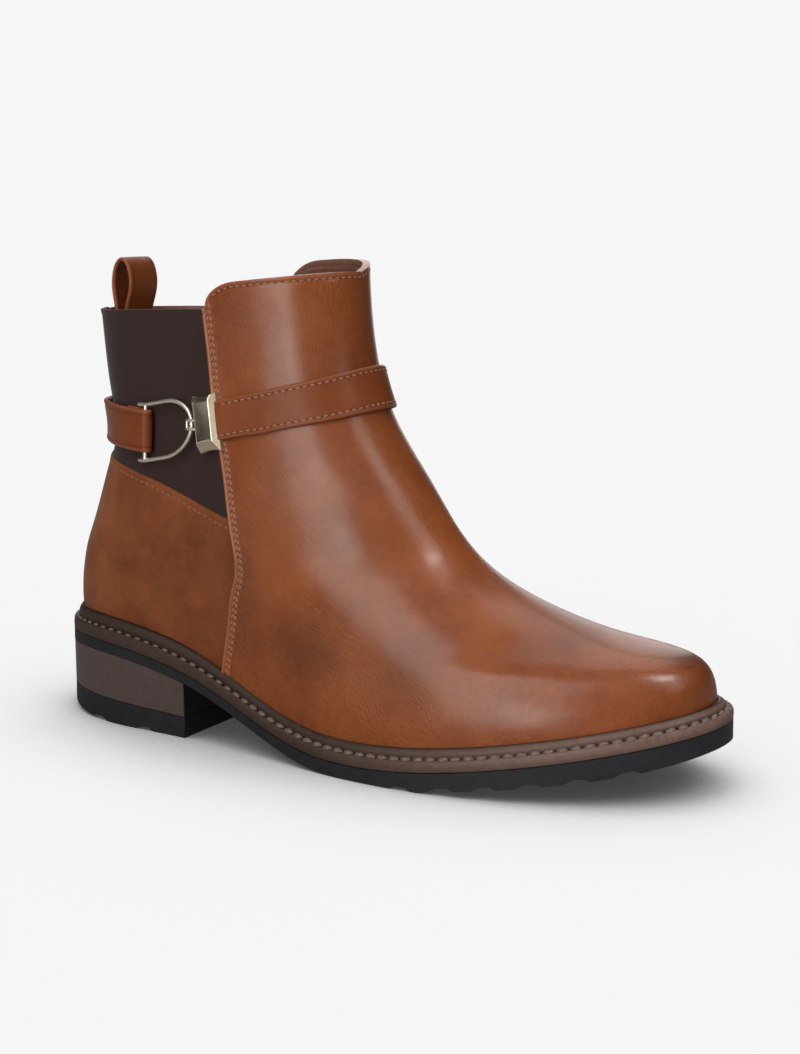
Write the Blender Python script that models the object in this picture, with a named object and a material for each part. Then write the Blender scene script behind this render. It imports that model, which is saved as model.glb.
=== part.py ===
"""Buckle ankle boot for the right foot.

A hollow leather upper has an elastic gore on the outer side and a zip on the inner side.
A two-part ankle strap is joined by a metal ring and an end cap. A welt, a rubber outsole,
a heel block and a top lift carry it. +X is the toe, -Y the outer side, +Z is up, and the
sole stands on Z = 0. Tables are in millimetres, measured from the back of the sole.
"""

import math

import bmesh
import bpy
import numpy as np
from mathutils import Matrix, Vector

MM = 0.001
GAP = 0.3
STEP = 1e-4

# The sole
WELT_AT_HEEL = 4.6
WELT_AT_TOE = 6.0
WELT_HEIGHT = 9.2
WELT_LOWER = 0.2
WELT_STATIONS = (0.24, 0.31)
HEEL_BREAST = 73.7
HEEL_INSET = 0.1
HEEL_TAPER = 0.3
LIFT_AT_BACK = 10.8
LIFT_AT_BREAST = 7.8
LIFT_BEVEL = 4.2
LIFT_FLAT_X = 45.0
NOTCH_DEPTH = 1.2
NOTCH_WIDTH = 6.0
NOTCH_SLOPE = 1.4
NOTCH_REACH = 0.72
PAD_REACH = 0.66
SOLE_SHARES = np.array((-1, -NOTCH_REACH, -PAD_REACH, 0, PAD_REACH, NOTCH_REACH, 1))
SOLE_NOTCHES = np.arange(170.0, 250.0, 15.0)
HEEL_NOTCHES = (27.0, 51.0)
HEEL_EASE = (0, 0.013, 0.05, 0.11, 0.2, 0.33, 0.49, 0.66, 0.83, 1.0)
INSOLE_THICK = 3.0

# The upper
PANEL_PROUD = 0.6
LINING_DEPTH = 2.2
GORE_BACK = 0.024
GORE_FOOT = 0.505
GORE_OUTER = -0.9
GORE_INNER = -2.0
COLLAR_BACK = 0.929
COLLAR_SEAM = 0.9035
COLLAR_FRONT = 0.944
COLLAR_OUT = 0.948
COLLAR_IN = 0.982
COLLAR_EASE = 1.7
COLLAR_MEDIAL = 0.896
CORNER_OUT = 1.6
CORNER_IN = 6.5
ROUND_OUT = 13.0
ROUND_IN = 18.0
SEAM_STEP = 0.5

# The zip
ZIP_WIDTH = 7.0
ZIP_FOOT_WIDTH = 3.4
ZIP_COIL = 3.0
ZIP_TAPE_OUTER = -1.2
ZIP_COIL_OUTER = -0.3
SLIDER_LEVEL = 0.865
SLIDER_SIZE = (8.0, 9.5, 2.2)
SLIDER_BASE = 0.9
BAIL_WIRE = 1.6
BAIL_SPAN = 5.6
PULL_WIRE = 1.2
PULL_RING = (6.4, 7.0)
PULL_TAB = (7.0, 17.0, 2.4)

# The strap, its ring and its end cap
STRAP_THICK = 2.0
FOLD_THICK = 1.5
RING_WIRE = 1.6
RING_BAR_X = 55.0
RING_MID_Z = 114.6
RING_HALF = 10.6
RING_ARM = 10.0
RING_BOW = 13.4
RING_REACH = RING_ARM + RING_BOW
RING_ENDS = (3.0, 2.5)
RING_TILT = 0.2
RING_BAR_OFFSET = 2.4
RING_APEX_OFFSET = 3.2
CAP_X = (81.6, 90.6)
CAP_LEAN = 0.17
CAP_MID_Z = (119.4, 121.2)
CAP_BASE = 0.9
CAP_FLAT = 5 / 6
CAP_DROP = 1.2
CAP_WALL = 1.5
CAP_SLOT = (1.5, 4.1)
CAP_SLOT_HALF = 8.7
KNUCKLE_THICK = 0.9
KNUCKLE_HALF = 2.2
KNUCKLE_ROUND = 1.95

# The pull loop
LOOP_HALF = 8.7
LOOP_THICK = 1.5
LOOP_COLUMNS = ("x", "z")
LOOP_PATH = (
    (21.6, 148.0), (21.1, 154.0), (20.4, 161.0), (19.5, 166.0), (19.3, 170.5),
    (20.0, 174.8), (21.5, 177.9), (23.6, 179.2), (25.7, 177.9), (27.2, 174.8),
    (27.9, 170.5), (27.4, 166.0), (25.9, 161.0), (24.5, 154.0), (23.9, 148.0),
)

# Sections of the last from the sole upwards: end points of the loop in side view, the
# radius of its two ends in plan, half widths at five stations, and its share of the sole's curve
SECTION_COLUMNS = (
    "back_x", "back_z", "front_x", "front_z", "back_round",
    "heel", "waist", "instep", "ball", "toe", "front_round", "sag",
)
SECTIONS = (
    (4.4, 30.8, 266.0, 24.1, 33, 28.6, 31.0, 37.6, 40.0, 31.0, 20, 1.00),
    (2.5, 44.0, 265.7, 34.6, 33, 29.2, 32.2, 38.5, 40.5, 31.0, 18, 1.00),
    (3.9, 60.0, 260.9, 44.0, 32, 29.4, 32.8, 37.5, 38.5, 28.5, 16, 0.85),
    (7.9, 73.0, 240.5, 48.3, 30, 29.0, 33.0, 36.5, 35.5, 25.5, 15, 0.66),
    (12.9, 87.0, 208.0, 56.1, 28, 28.2, 33.0, 35.0, 33.0, 23.5, 14, 0.48),
    (17.8, 101.0, 177.8, 72.6, 26, 27.0, 32.5, 34.0, 31.0, 22.5, 14, 0.32),
    (21.3, 114.0, 159.2, 97.3, 24, 25.8, 31.5, 32.5, 29.5, 21.5, 15, 0.18),
    (19.1, 128.0, 143.0, 121.6, 23, 25.2, 30.8, 31.0, 28.5, 21.5, 16, 0.07),
    (16.8, 145.0, 134.6, 147.6, 23, 25.2, 30.8, 31.0, 28.5, 21.5, 18, 0.00),
    (14.5, 170.0, 131.4, 189.5, 24, 26.0, 31.8, 32.0, 29.5, 22.5, 20, 0.00),
)
WIDTH_NAMES = ("heel", "waist", "instep", "ball", "toe")
WIDTH_STATIONS = (0.10, 0.34, 0.54, 0.72, 0.88)

# Along the sole: middle line of the foot, top of the outsole and its thickness
SOLE_COLUMNS = ("x", "middle_y", "seat_z", "thick")
SOLE_ROWS = (
    (0, 0.0, 31.0, 3.9),
    (20, -0.3, 31.9, 3.9),
    (40, -0.5, 31.0, 3.8),
    (60, -0.8, 27.8, 3.6),
    (76, -1.6, 23.9, 3.5),
    (100, -3.2, 15.6, 3.6),
    (121, -3.9, 8.6, 4.2),
    (136, -4.0, 5.7, 4.9),
    (152, -3.4, 5.0, 5.0),
    (174, -1.7, 6.2, 6.0),
    (204, 1.5, 10.2, 6.6),
    (231, 4.1, 15.0, 7.2),
    (256, 6.0, 20.3, 7.4),
    (272, 7.0, 24.0, 6.6),
)
PAD_X = (147.0, 180.0)

# Edges of the front panel as stations on each loop
SEAM_COLUMNS = ("level", "lateral", "medial")
SEAMS = (
    (0.00, 0.320, 0.385),
    (0.07, 0.336, 0.389),
    (0.15, 0.3525, 0.397),
    (0.28, 0.399, 0.419),
    (0.43, 0.474, 0.440),
    (0.57, 0.505, 0.450),
    (0.70, 0.540, 0.464),
    (0.80, 0.563, 0.469),
    (0.90, 0.563, 0.469),
    (1.00, 0.556, 0.469),
)

# Straps: lower and upper edge as levels, and height of the mid-surface above the last
STRAP_COLUMNS = ("station", "low", "high", "height")
FRONT_STRAP = (
    (0.440, 0.634, 0.718, 1.9),
    (0.560, 0.661, 0.735, 1.9),
    (0.685, 0.682, 0.752, 1.9),
    (0.820, 0.701, 0.770, 1.9),
    (0.934, 0.715, 0.785, 1.9),
    (1.000, 0.7245, 0.796, 1.9),
)
STRAP_END_COLUMNS = ("x", "low_z", "high_z", "height")
STRAP_END = (
    (84.8, 112.7, 127.8, 2.8),
    (88.0, 113.3, 128.6, 2.8),
    (91.6, 114.2, 129.4, 2.8),
    (95.0, 115.0, 130.2, 2.4),
    (99.0, 115.9, 131.2, 2.1),
)
REAR_STRAP = (
    (0.000, 0.5525, 0.6865, 2.1),
    (0.100, 0.562, 0.692, 2.0),
    (0.200, 0.574, 0.698, 1.7),
    (0.300, 0.590, 0.703, 1.3),
    (0.440, 0.614, 0.714, 0.9),
)
FOLD_COLUMNS = ("x", "height")
FOLD_OUT = ((31.0, 1.9), (36.0, 2.1), (41.5, 2.7), (47.0, 3.4), (51.5, 4.0))
FOLD_BACK = ((52.5, 0.6), (48.5, 0.6), (45.0, 0.6))
FOLD_LOW = (108.6, 107.3)
FOLD_HIGH = (125.6, 123.5)

STRIP_SHARES = np.array((0.0, 0.08, 0.92, 1.0))

# Zones of the upper round the last: cells and easing of their widths
ZONES = (
    ("heel_out", 2, 1.0),
    ("gore", 7, 1.0),
    ("step_out", 1, 1.0),
    ("front_out", 14, 1.35),
    ("front_in", 14, -1.35),
    ("step_in", 1, 1.0),
    ("zip", 1, 1.0),
    ("heel_in", 9, 1.0),
)
LOW_ROWS = 14
HIGH_ROWS = 12
ZIP_ROW = 3

# Cross-section of the welt: share of its width, height above the outsole
WELT_SECTION = (
    (1.00, 0.0), (1.00, 4.0), (0.90, 4.9), (0.74, 4.9), (0.66, 4.1),
    (0.58, 4.6), (0.56, 7.0), (0.34, 8.8),
)

COLOURS = {
    "upper": (0.20, 0.065, 0.022, 1),
    "elastic_gore": (0.035, 0.02, 0.018, 1),
    "insole": (0.32, 0.2, 0.11, 1),
    "outsole": (0.018, 0.018, 0.02, 1),
    "welt": (0.1, 0.05, 0.03, 1),
    "heel_block": (0.065, 0.04, 0.034, 1),
    "heel_top_lift": (0.02, 0.02, 0.022, 1),
    "strap_front": (0.2, 0.065, 0.022, 1),
    "strap_rear": (0.18, 0.065, 0.026, 1),
    "buckle_ring": (0.75, 0.62, 0.36, 1),
    "strap_end_cap": (0.7, 0.6, 0.4, 1),
    "pull_loop": (0.18, 0.065, 0.026, 1),
    "zip": (0.09, 0.035, 0.02, 1),
    "zip_slider": (0.15, 0.06, 0.03, 1),
    "zip_pull_ring": (0.15, 0.06, 0.03, 1),
    "zip_pull_tab": (0.2, 0.065, 0.022, 1),
}
METALS = ("buckle_ring", "strap_end_cap", "zip_slider", "zip_pull_ring")


def columns(names, rows):
    """A table as one array per named column."""
    return {name: np.array(values, float) for name, values in zip(names, zip(*rows))}


def natural_cubic(knots, values, places):
    """The smooth curve through the values, read at the places."""
    values = np.asarray(values, float)
    places = np.asarray(places, float)
    steps = np.diff(knots)
    count = len(knots)
    matrix = np.eye(count)
    right = np.zeros_like(values)
    for i in range(1, count - 1):
        matrix[i, i - 1:i + 2] = steps[i - 1], 2 * (steps[i - 1] + steps[i]), steps[i]
        rise = (values[i + 1] - values[i]) / steps[i]
        right[i] = 6 * (rise - (values[i] - values[i - 1]) / steps[i - 1])
    bend = np.linalg.solve(matrix, right)
    i = np.clip(np.searchsorted(knots, places) - 1, 0, count - 2)
    shape = places.shape + (1,) * (values.ndim - 1)
    after = (places - knots[i]).reshape(shape)
    before = (knots[i + 1] - places).reshape(shape)
    step = steps[i].reshape(shape)
    cubic = (bend[i] * before**3 + bend[i + 1] * after**3) / (6 * step)
    start = (values[i] / step - bend[i] * step / 6) * before
    return cubic + start + (values[i + 1] / step - bend[i + 1] * step / 6) * after


LAST = columns(SECTION_COLUMNS, SECTIONS)
SOLE = columns(SOLE_COLUMNS, SOLE_ROWS)
SEAM = columns(SEAM_COLUMNS, SEAMS)
BACK_STEPS = np.hypot(np.diff(LAST["back_x"]), np.diff(LAST["back_z"]))
FRONT_STEPS = np.hypot(np.diff(LAST["front_x"]), np.diff(LAST["front_z"]))
LEVELS = np.append(0, np.cumsum(BACK_STEPS + FRONT_STEPS)) / np.sum(BACK_STEPS + FRONT_STEPS)
STATION_TURNS = np.arccos(1 - 2 * np.array(WIDTH_STATIONS))
TURNS = np.concatenate(([0], STATION_TURNS, [math.pi]))


def sole_value(name, x):
    return natural_cubic(SOLE["x"], SOLE[name], x)


def at_level(name, level):
    return natural_cubic(LEVELS, LAST[name], level)


def station_turn(station):
    return np.arccos(1 - 2 * np.clip(station, 0, 1))


def last_point(turn, level):
    """A point of the last: turn runs from the back over the outer side to the toe and round."""
    turn, level = np.broadcast_arrays(np.asarray(turn, float), np.asarray(level, float))
    shape = turn.shape
    turn = np.mod(turn.ravel(), 2 * math.pi)
    level = level.ravel()
    row = {name: at_level(name, level) for name in SECTION_COLUMNS}
    fold = np.minimum(turn, 2 * math.pi - turn)
    side = np.where(turn <= math.pi, -1.0, 1.0)
    station = (1 - np.cos(fold)) / 2
    length = row["front_x"] - row["back_x"]
    x = row["back_x"] + length * station
    reach = [np.sqrt(row["back_round"] * length / 2)]
    reach += [row[name] / math.sin(t) for name, t in zip(WIDTH_NAMES, STATION_TURNS)]
    reach += [np.sqrt(row["front_round"] * length / 2)]
    weight = natural_cubic(TURNS, np.eye(len(TURNS)), fold)
    width = (weight * np.stack(reach, axis=1)).sum(axis=1) * np.sin(fold)
    y = sole_value("middle_y", x) + side * width
    sole_x = LAST["back_x"][0] + (LAST["front_x"][0] - LAST["back_x"][0]) * station
    straight = LAST["back_z"][0] + (LAST["front_z"][0] - LAST["back_z"][0]) * station
    sag = row["sag"] * (sole_value("seat_z", sole_x) + GAP - straight)
    z = row["back_z"] + (row["front_z"] - row["back_z"]) * station + sag
    return np.stack([x, y, z], axis=1).reshape(shape + (3,))


def outward(turn, level):
    along = last_point(turn + STEP, level) - last_point(turn - STEP, level)
    rise = last_point(turn, level + STEP) - last_point(turn, level - STEP)
    normal = np.cross(along, rise)
    return normal / np.linalg.norm(normal, axis=-1, keepdims=True)


def skin(turn, level, height):
    """A point of the last, moved out from its surface."""
    turn, level, height = np.broadcast_arrays(
        np.asarray(turn, float), np.asarray(level, float), np.asarray(height, float)
    )
    return last_point(turn, level) + height[..., None] * outward(turn, level)


def side_skin(x, z, height):
    """A point of the outer side given in side view, moved out from the surface."""
    x, z, height = np.broadcast_arrays(
        np.asarray(x, float), np.asarray(z, float), np.asarray(height, float)
    )
    level = np.full(x.shape, 0.65)
    length = at_level("front_x", level) - at_level("back_x", level)
    turn = station_turn(np.clip((x - at_level("back_x", level)) / length, 0.03, 0.97))
    for _ in range(12):
        here = last_point(turn, level)
        by_turn = (last_point(turn + STEP, level) - here) / STEP
        by_level = (last_point(turn, level + STEP) - here) / STEP
        miss_x = x - here[..., 0]
        miss_z = z - here[..., 2]
        size = by_turn[..., 0] * by_level[..., 2] - by_level[..., 0] * by_turn[..., 2]
        turn = turn + (miss_x * by_level[..., 2] - by_level[..., 0] * miss_z) / size
        level = level + (by_turn[..., 0] * miss_z - miss_x * by_turn[..., 2]) / size
    return skin(turn, level, height)


def turn_per_mm(turn, level):
    """How far the turn moves for a millimetre along the loop."""
    along = last_point(turn + STEP, level) - last_point(turn - STEP, level)
    return 2 * STEP / np.linalg.norm(along, axis=-1)


def seam_turn(level, side):
    return station_turn(natural_cubic(SEAM["level"], SEAM[side], level))


def zip_turns(level):
    """Front and rear edge of the zip's slot on the inner side, counted from the back."""
    front = seam_turn(level, "medial")
    share = np.clip((level - 0.10) / 0.22, 0, 1)
    width = ZIP_FOOT_WIDTH + (ZIP_WIDTH - ZIP_FOOT_WIDTH) * share * (2 - share)
    return front, front - width * turn_per_mm(2 * math.pi - front, level)


def zone_edges(level):
    """The turns that bound the zones of the upper at a level."""
    lateral = seam_turn(level, "lateral")
    half = SEAM_STEP / 2 * turn_per_mm(lateral, level)
    front, back = zip_turns(level)
    medial = 2 * math.pi - front
    return (
        np.zeros_like(level),
        np.full_like(level, station_turn(GORE_BACK)),
        lateral - half,
        lateral + half,
        np.full_like(level, math.pi),
        medial - half,
        medial + half,
        2 * math.pi - back,
        np.full_like(level, 2 * math.pi),
    )


def collar_level(turn, zone):
    """Level of the collar: low at the back, high with a rounded corner on the front panel."""
    if zone in ("heel_out", "gore", "step_out"):
        edge = seam_turn(COLLAR_SEAM, "lateral")
        return COLLAR_BACK + (COLLAR_SEAM - COLLAR_BACK) * turn / edge
    if zone in ("step_in", "zip", "heel_in"):
        edge = 2 * math.pi - seam_turn(COLLAR_MEDIAL, "medial")
        share = (2 * math.pi - turn) / (2 * math.pi - edge)
        return COLLAR_BACK + (COLLAR_MEDIAL - COLLAR_BACK) * np.clip(share, 0, 1)
    side = "lateral" if turn <= math.pi else "medial"
    low = COLLAR_SEAM if side == "lateral" else COLLAR_MEDIAL
    edge = seam_turn(low, side)
    fold = min(turn, 2 * math.pi - turn)
    start, size = (CORNER_OUT, ROUND_OUT) if side == "lateral" else (CORNER_IN, ROUND_IN)
    away = ((fold - edge) / turn_per_mm(fold, low) - start) / size
    rise = math.sqrt(1 - (1 - min(max(away, 0), 1)) ** 2)
    corner = COLLAR_OUT if side == "lateral" else COLLAR_IN
    share = max(fold - edge, 0) / (math.pi - edge)
    high = corner + (COLLAR_FRONT - corner) * share**COLLAR_EASE
    return low + (high - low) * rise


def upper_grid():
    """Turns, levels and zone of every column of the upper."""
    turns = []
    levels = []
    names = []
    for number, (name, cells, ease) in enumerate(ZONES):
        for k in range(cells):
            share = (k / cells) ** ease if ease > 0 else 1 - (1 - k / cells) ** -ease
            near = np.full(1, COLLAR_SEAM)
            edges = zone_edges(near)
            turn = edges[number] + (edges[number + 1] - edges[number]) * share
            top = float(collar_level(float(turn[0]), name))
            low = GORE_FOOT * np.arange(LOW_ROWS) / LOW_ROWS
            level = np.append(low, np.linspace(GORE_FOOT, top, HIGH_ROWS + 1))
            edges = zone_edges(level)
            turns.append(edges[number] + (edges[number + 1] - edges[number]) * share)
            levels.append(level)
            names.append(name)
    return np.array(turns), np.array(levels), names


def material_of(name):
    material = bpy.data.materials.new(name)
    material.use_nodes = True
    shader = material.node_tree.nodes["Principled BSDF"]
    shader.inputs["Base Color"].default_value = COLOURS[name]
    shader.inputs["Metallic"].default_value = 1.0 if name in METALS else 0.0
    shader.inputs["Roughness"].default_value = 0.25 if name in METALS else 0.55
    return material


def placed(points):
    """Table millimetres as scene metres, with the sole centred on the origin."""
    return (np.asarray(points, float) - ORIGIN) * MM


def add_mesh(name, bm, collection, material=True):
    bmesh.ops.remove_doubles(bm, verts=bm.verts[:], dist=0.00001)
    bmesh.ops.dissolve_degenerate(bm, edges=bm.edges[:], dist=0.000005)
    bmesh.ops.recalc_face_normals(bm, faces=bm.faces[:])
    mesh = bpy.data.meshes.new(name)
    bm.to_mesh(mesh)
    bm.free()
    thing = bpy.data.objects.new(name, mesh)
    collection.objects.link(thing)
    if material:
        mesh.materials.append(material_of(name))
    return thing


def shell(name, outer, inner, collection, keep=None, wrap=False, material=True):
    """A closed body between two grids of points; cells that keep leaves out stay open."""
    across, along = outer.shape[:2]
    cells = across if wrap else across - 1
    if keep is None:
        keep = np.ones((cells, along - 1), bool)
    bm = bmesh.new()
    skins = [
        [[bm.verts.new(p) for p in column] for column in placed(grid)]
        for grid in (outer, inner)
    ]

    def kept(i, j):
        if wrap:
            i %= cells
        return 0 <= i < cells and 0 <= j < along - 1 and keep[i, j]

    def quad(*corners):
        bm.faces.new([skins[s][i % across][j] for s, i, j in corners])

    for i in range(cells):
        for j in range(along - 1):
            if not keep[i, j]:
                continue
            quad((0, i, j), (0, i + 1, j), (0, i + 1, j + 1), (0, i, j + 1))
            quad((1, i, j), (1, i, j + 1), (1, i + 1, j + 1), (1, i + 1, j))
            if not kept(i - 1, j):
                quad((0, i, j), (0, i, j + 1), (1, i, j + 1), (1, i, j))
            if not kept(i + 1, j):
                quad((0, i + 1, j), (1, i + 1, j), (1, i + 1, j + 1), (0, i + 1, j + 1))
            if not kept(i, j - 1):
                quad((0, i, j), (1, i, j), (1, i + 1, j), (0, i + 1, j))
            if not kept(i, j + 1):
                quad((0, i, j + 1), (0, i + 1, j + 1), (1, i + 1, j + 1), (1, i, j + 1))
    loose = [v for v in bm.verts if not v.link_faces]
    bmesh.ops.delete(bm, geom=loose, context="VERTS")
    return add_mesh(name, bm, collection, material)


def thickened(name, grid, thick, collection, material=True):
    """A strip of even thickness about a grid of middle points, thinner along its edges."""
    along = np.gradient(grid, axis=0)
    over = np.gradient(grid, axis=1)
    normal = np.cross(along, over)
    normal /= np.linalg.norm(normal, axis=-1, keepdims=True)
    half = np.full(grid.shape[1], thick / 2)
    half[[0, -1]] *= 0.6
    shift = normal * half[None, :, None]
    return shell(name, grid + shift, grid - shift, collection, material=material)


def strap_value(table, name, station):
    rows = columns(STRAP_COLUMNS, table)
    return natural_cubic(rows["station"], rows[name], station)


def strip_grid(turns, levels_low, levels_high, heights):
    """Middle points of a strap: four across, their levels running from low to high."""
    level = levels_low[:, None] + (levels_high - levels_low)[:, None] * STRIP_SHARES
    return skin(turns[:, None], level, heights[:, None])


def sole_edge(turn, grow):
    """Plan outline of the upper's foot, grown outwards."""
    foot = last_point(turn, np.zeros_like(turn))
    along = last_point(turn + STEP, np.zeros_like(turn)) - last_point(turn - STEP, np.zeros_like(turn))
    out = np.stack([along[:, 1], -along[:, 0]], axis=1)
    out /= np.linalg.norm(out, axis=1, keepdims=True)
    return foot[:, :2] + np.asarray(grow)[:, None] * out


def welt_width(turn):
    share = (1 - np.cos(turn)) / 2
    ease = np.clip((share - 0.15) / 0.5, 0, 1)
    return WELT_AT_HEEL + (WELT_AT_TOE - WELT_AT_HEEL) * ease * ease * (3 - 2 * ease)


def sole_grid(turns, shares, grow):
    """Plan points of the sole: turns along it, shares from the outer to the inner edge."""
    outer = sole_edge(turns, grow + 0 * turns)
    inner = sole_edge(2 * math.pi - turns, grow + 0 * turns)
    share = (np.asarray(shares) + 1)[None, :, None] / 2
    return outer[:, None, :] * (1 - share) + inner[:, None, :] * share


def with_height(plan, height):
    return np.concatenate([plan, height[..., None]], axis=-1)


def turns_at(xs):
    """Turns at which the sole's middle line passes the given x."""
    length = LAST["front_x"][0] - LAST["back_x"][0]
    return station_turn((np.asarray(xs, float) - LAST["back_x"][0]) / length)


def lift_height(x):
    """Top of the heel's top lift, which is thicker at the back."""
    return LIFT_AT_BACK + (LIFT_AT_BREAST - LIFT_AT_BACK) * x / HEEL_BREAST


def lift_foot(x):
    """Underside of the top lift, which rises towards the back."""
    return LIFT_BEVEL * np.clip(1 - x / LIFT_FLAT_X, 0, 1) ** 2


def heel_stations():
    start = LAST["back_x"][0]
    return start + (HEEL_BREAST - start) * np.array(HEEL_EASE)


def notch_rows(starts):
    """Stations of the notches' corners and whether each lies in a notch."""
    slope = NOTCH_SLOPE
    corners = ((-slope, 0), (slope, 1), (NOTCH_WIDTH - slope, 1), (NOTCH_WIDTH + slope, 0))
    return [(x + shift, depth) for x in starts for shift, depth in corners]


def clear_scene():
    for thing in list(bpy.data.objects):
        bpy.data.objects.remove(thing)
    for name in ("buckle_ankle_boot", "cutters"):
        collection = bpy.data.collections.new(name)
        bpy.context.scene.collection.children.link(collection)
    bpy.data.collections["cutters"].hide_render = True
    return bpy.data.collections["buckle_ankle_boot"], bpy.data.collections["cutters"]


def build_upper(boot):
    turns, levels, names = upper_grid()
    front = np.array([name in ("front_out", "front_in", "step_in") for name in names])
    height = np.where(front, PANEL_PROUD, -PANEL_PROUD)[:, None]
    keep = np.ones((len(names), LOW_ROWS + HIGH_ROWS), bool)
    for i, name in enumerate(names):
        if name in ("gore", "step_out"):
            keep[i, LOW_ROWS:] = False
        if name in ("zip", "step_in"):
            keep[i, ZIP_ROW:] = False
    outer = skin(turns, levels, height)
    inner = skin(turns, levels, -LINING_DEPTH)
    return shell("upper", outer, inner, boot, keep, wrap=True)


def build_gore(boot):
    cells = 9
    shares = np.linspace(0, 1, cells + 1)
    grids = []
    for share in shares:
        top = float(collar_level(share * seam_turn(COLLAR_SEAM, "lateral"), "gore"))
        level = np.linspace(GORE_FOOT + 0.0022, top - 0.001, HIGH_ROWS + 1)
        start = station_turn(GORE_BACK) + GAP * turn_per_mm(station_turn(GORE_BACK), level)
        seam = seam_turn(level, "lateral")
        end = seam + (SEAM_STEP / 2 - GAP) * turn_per_mm(seam, level)
        grids.append(np.stack([start + (end - start) * share, level], axis=-1))
    grid = np.array(grids)
    outer = skin(grid[..., 0], grid[..., 1], GORE_OUTER)
    inner = skin(grid[..., 0], grid[..., 1], GORE_INNER)
    return shell("elastic_gore", outer, inner, boot)


def build_zip(boot):
    rows = 22
    foot = GORE_FOOT * ZIP_ROW / LOW_ROWS
    level = np.linspace(foot + 0.002, COLLAR_MEDIAL - 0.003, rows)
    front, back = zip_turns(level)
    scale = turn_per_mm(2 * math.pi - front, level)
    half = SEAM_STEP / 2
    start = front + (half - GAP) * scale
    end = back + GAP * scale
    middle = (start + end) / 2
    coil = np.minimum(ZIP_COIL / 2, 0.35 * (start - end) / scale) * scale
    edge = 0.4 * scale
    lines = (start, middle + coil + edge, middle + coil, middle - coil, middle - coil - edge, end)
    heights = (ZIP_TAPE_OUTER,) * 2 + (ZIP_COIL_OUTER,) * 2 + (ZIP_TAPE_OUTER,) * 2
    turns = 2 * math.pi - np.array(lines)
    outer = skin(turns, level[None, :], np.array(heights)[:, None])
    inner = skin(turns, level[None, :], GORE_INNER)
    return shell("zip", outer, inner, boot)


def zip_frame():
    """Origin and axes at the slider: across the zip, up along it, and outwards."""
    front, back = zip_turns(np.full(1, SLIDER_LEVEL))
    turn = 2 * math.pi - (front + back) / 2
    level = np.full(1, SLIDER_LEVEL)
    origin = last_point(turn, level)[0]
    out = outward(turn, level)[0]
    rise = (last_point(turn, level + STEP) - last_point(turn, level - STEP))[0]
    across = np.cross(rise, out)
    across /= np.linalg.norm(across)
    up = np.cross(out, across)
    return placed(origin), across, up, out


def frame_matrix(origin, across, up, out):
    matrix = Matrix.Identity(4)
    for column, axis in enumerate((across, up, out)):
        for row in range(3):
            matrix[row][column] = axis[row]
    matrix.translation = Vector(origin)
    return matrix


def box(name, size, centre, collection, bevel=0.0):
    bm = bmesh.new()
    bmesh.ops.create_cube(bm, size=1.0)
    bmesh.ops.scale(bm, vec=Vector(size) * MM, verts=bm.verts[:])
    bmesh.ops.translate(bm, vec=Vector(centre) * MM, verts=bm.verts[:])
    if bevel:
        bmesh.ops.bevel(bm, geom=bm.edges[:], offset=bevel * MM, segments=1, affect="EDGES")
    return add_mesh(name, bm, collection, material=name in COLOURS)


def tube(name, points, wire, collection, closed=False, sides=8):
    """A round wire along points given in metres."""
    points = np.asarray(points, float)
    count = len(points)
    if closed:
        along = np.roll(points, -1, axis=0) - np.roll(points, 1, axis=0)
    else:
        along = np.gradient(points, axis=0)
    along /= np.linalg.norm(along, axis=1, keepdims=True)
    flat = np.linalg.svd(points - points.mean(axis=0))[2][-1]
    beside = np.cross(along, flat)
    beside /= np.linalg.norm(beside, axis=1, keepdims=True)
    over = np.cross(beside, along)
    bm = bmesh.new()
    rings = []
    for i in range(count):
        ring = []
        for k in range(sides):
            angle = 2 * math.pi * (k + 0.5) / sides
            shift = beside[i] * math.cos(angle) + over[i] * math.sin(angle)
            ring.append(bm.verts.new(points[i] + shift * wire / 2 * MM))
        rings.append(ring)
    for i in range(count if closed else count - 1):
        after = rings[(i + 1) % count]
        for k in range(sides):
            j = (k + 1) % sides
            bm.faces.new((rings[i][k], rings[i][j], after[j], after[k]))
    if not closed:
        bm.faces.new(rings[0])
        bm.faces.new(rings[-1])
    return add_mesh(name, bm, collection, material=name in COLOURS)


def join(thing, other, operation):
    modifier = thing.modifiers.new(operation.lower(), "BOOLEAN")
    modifier.operation = operation
    modifier.solver = "EXACT"
    modifier.object = other
    other.hide_render = True
    other.display_type = "WIRE"


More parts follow.
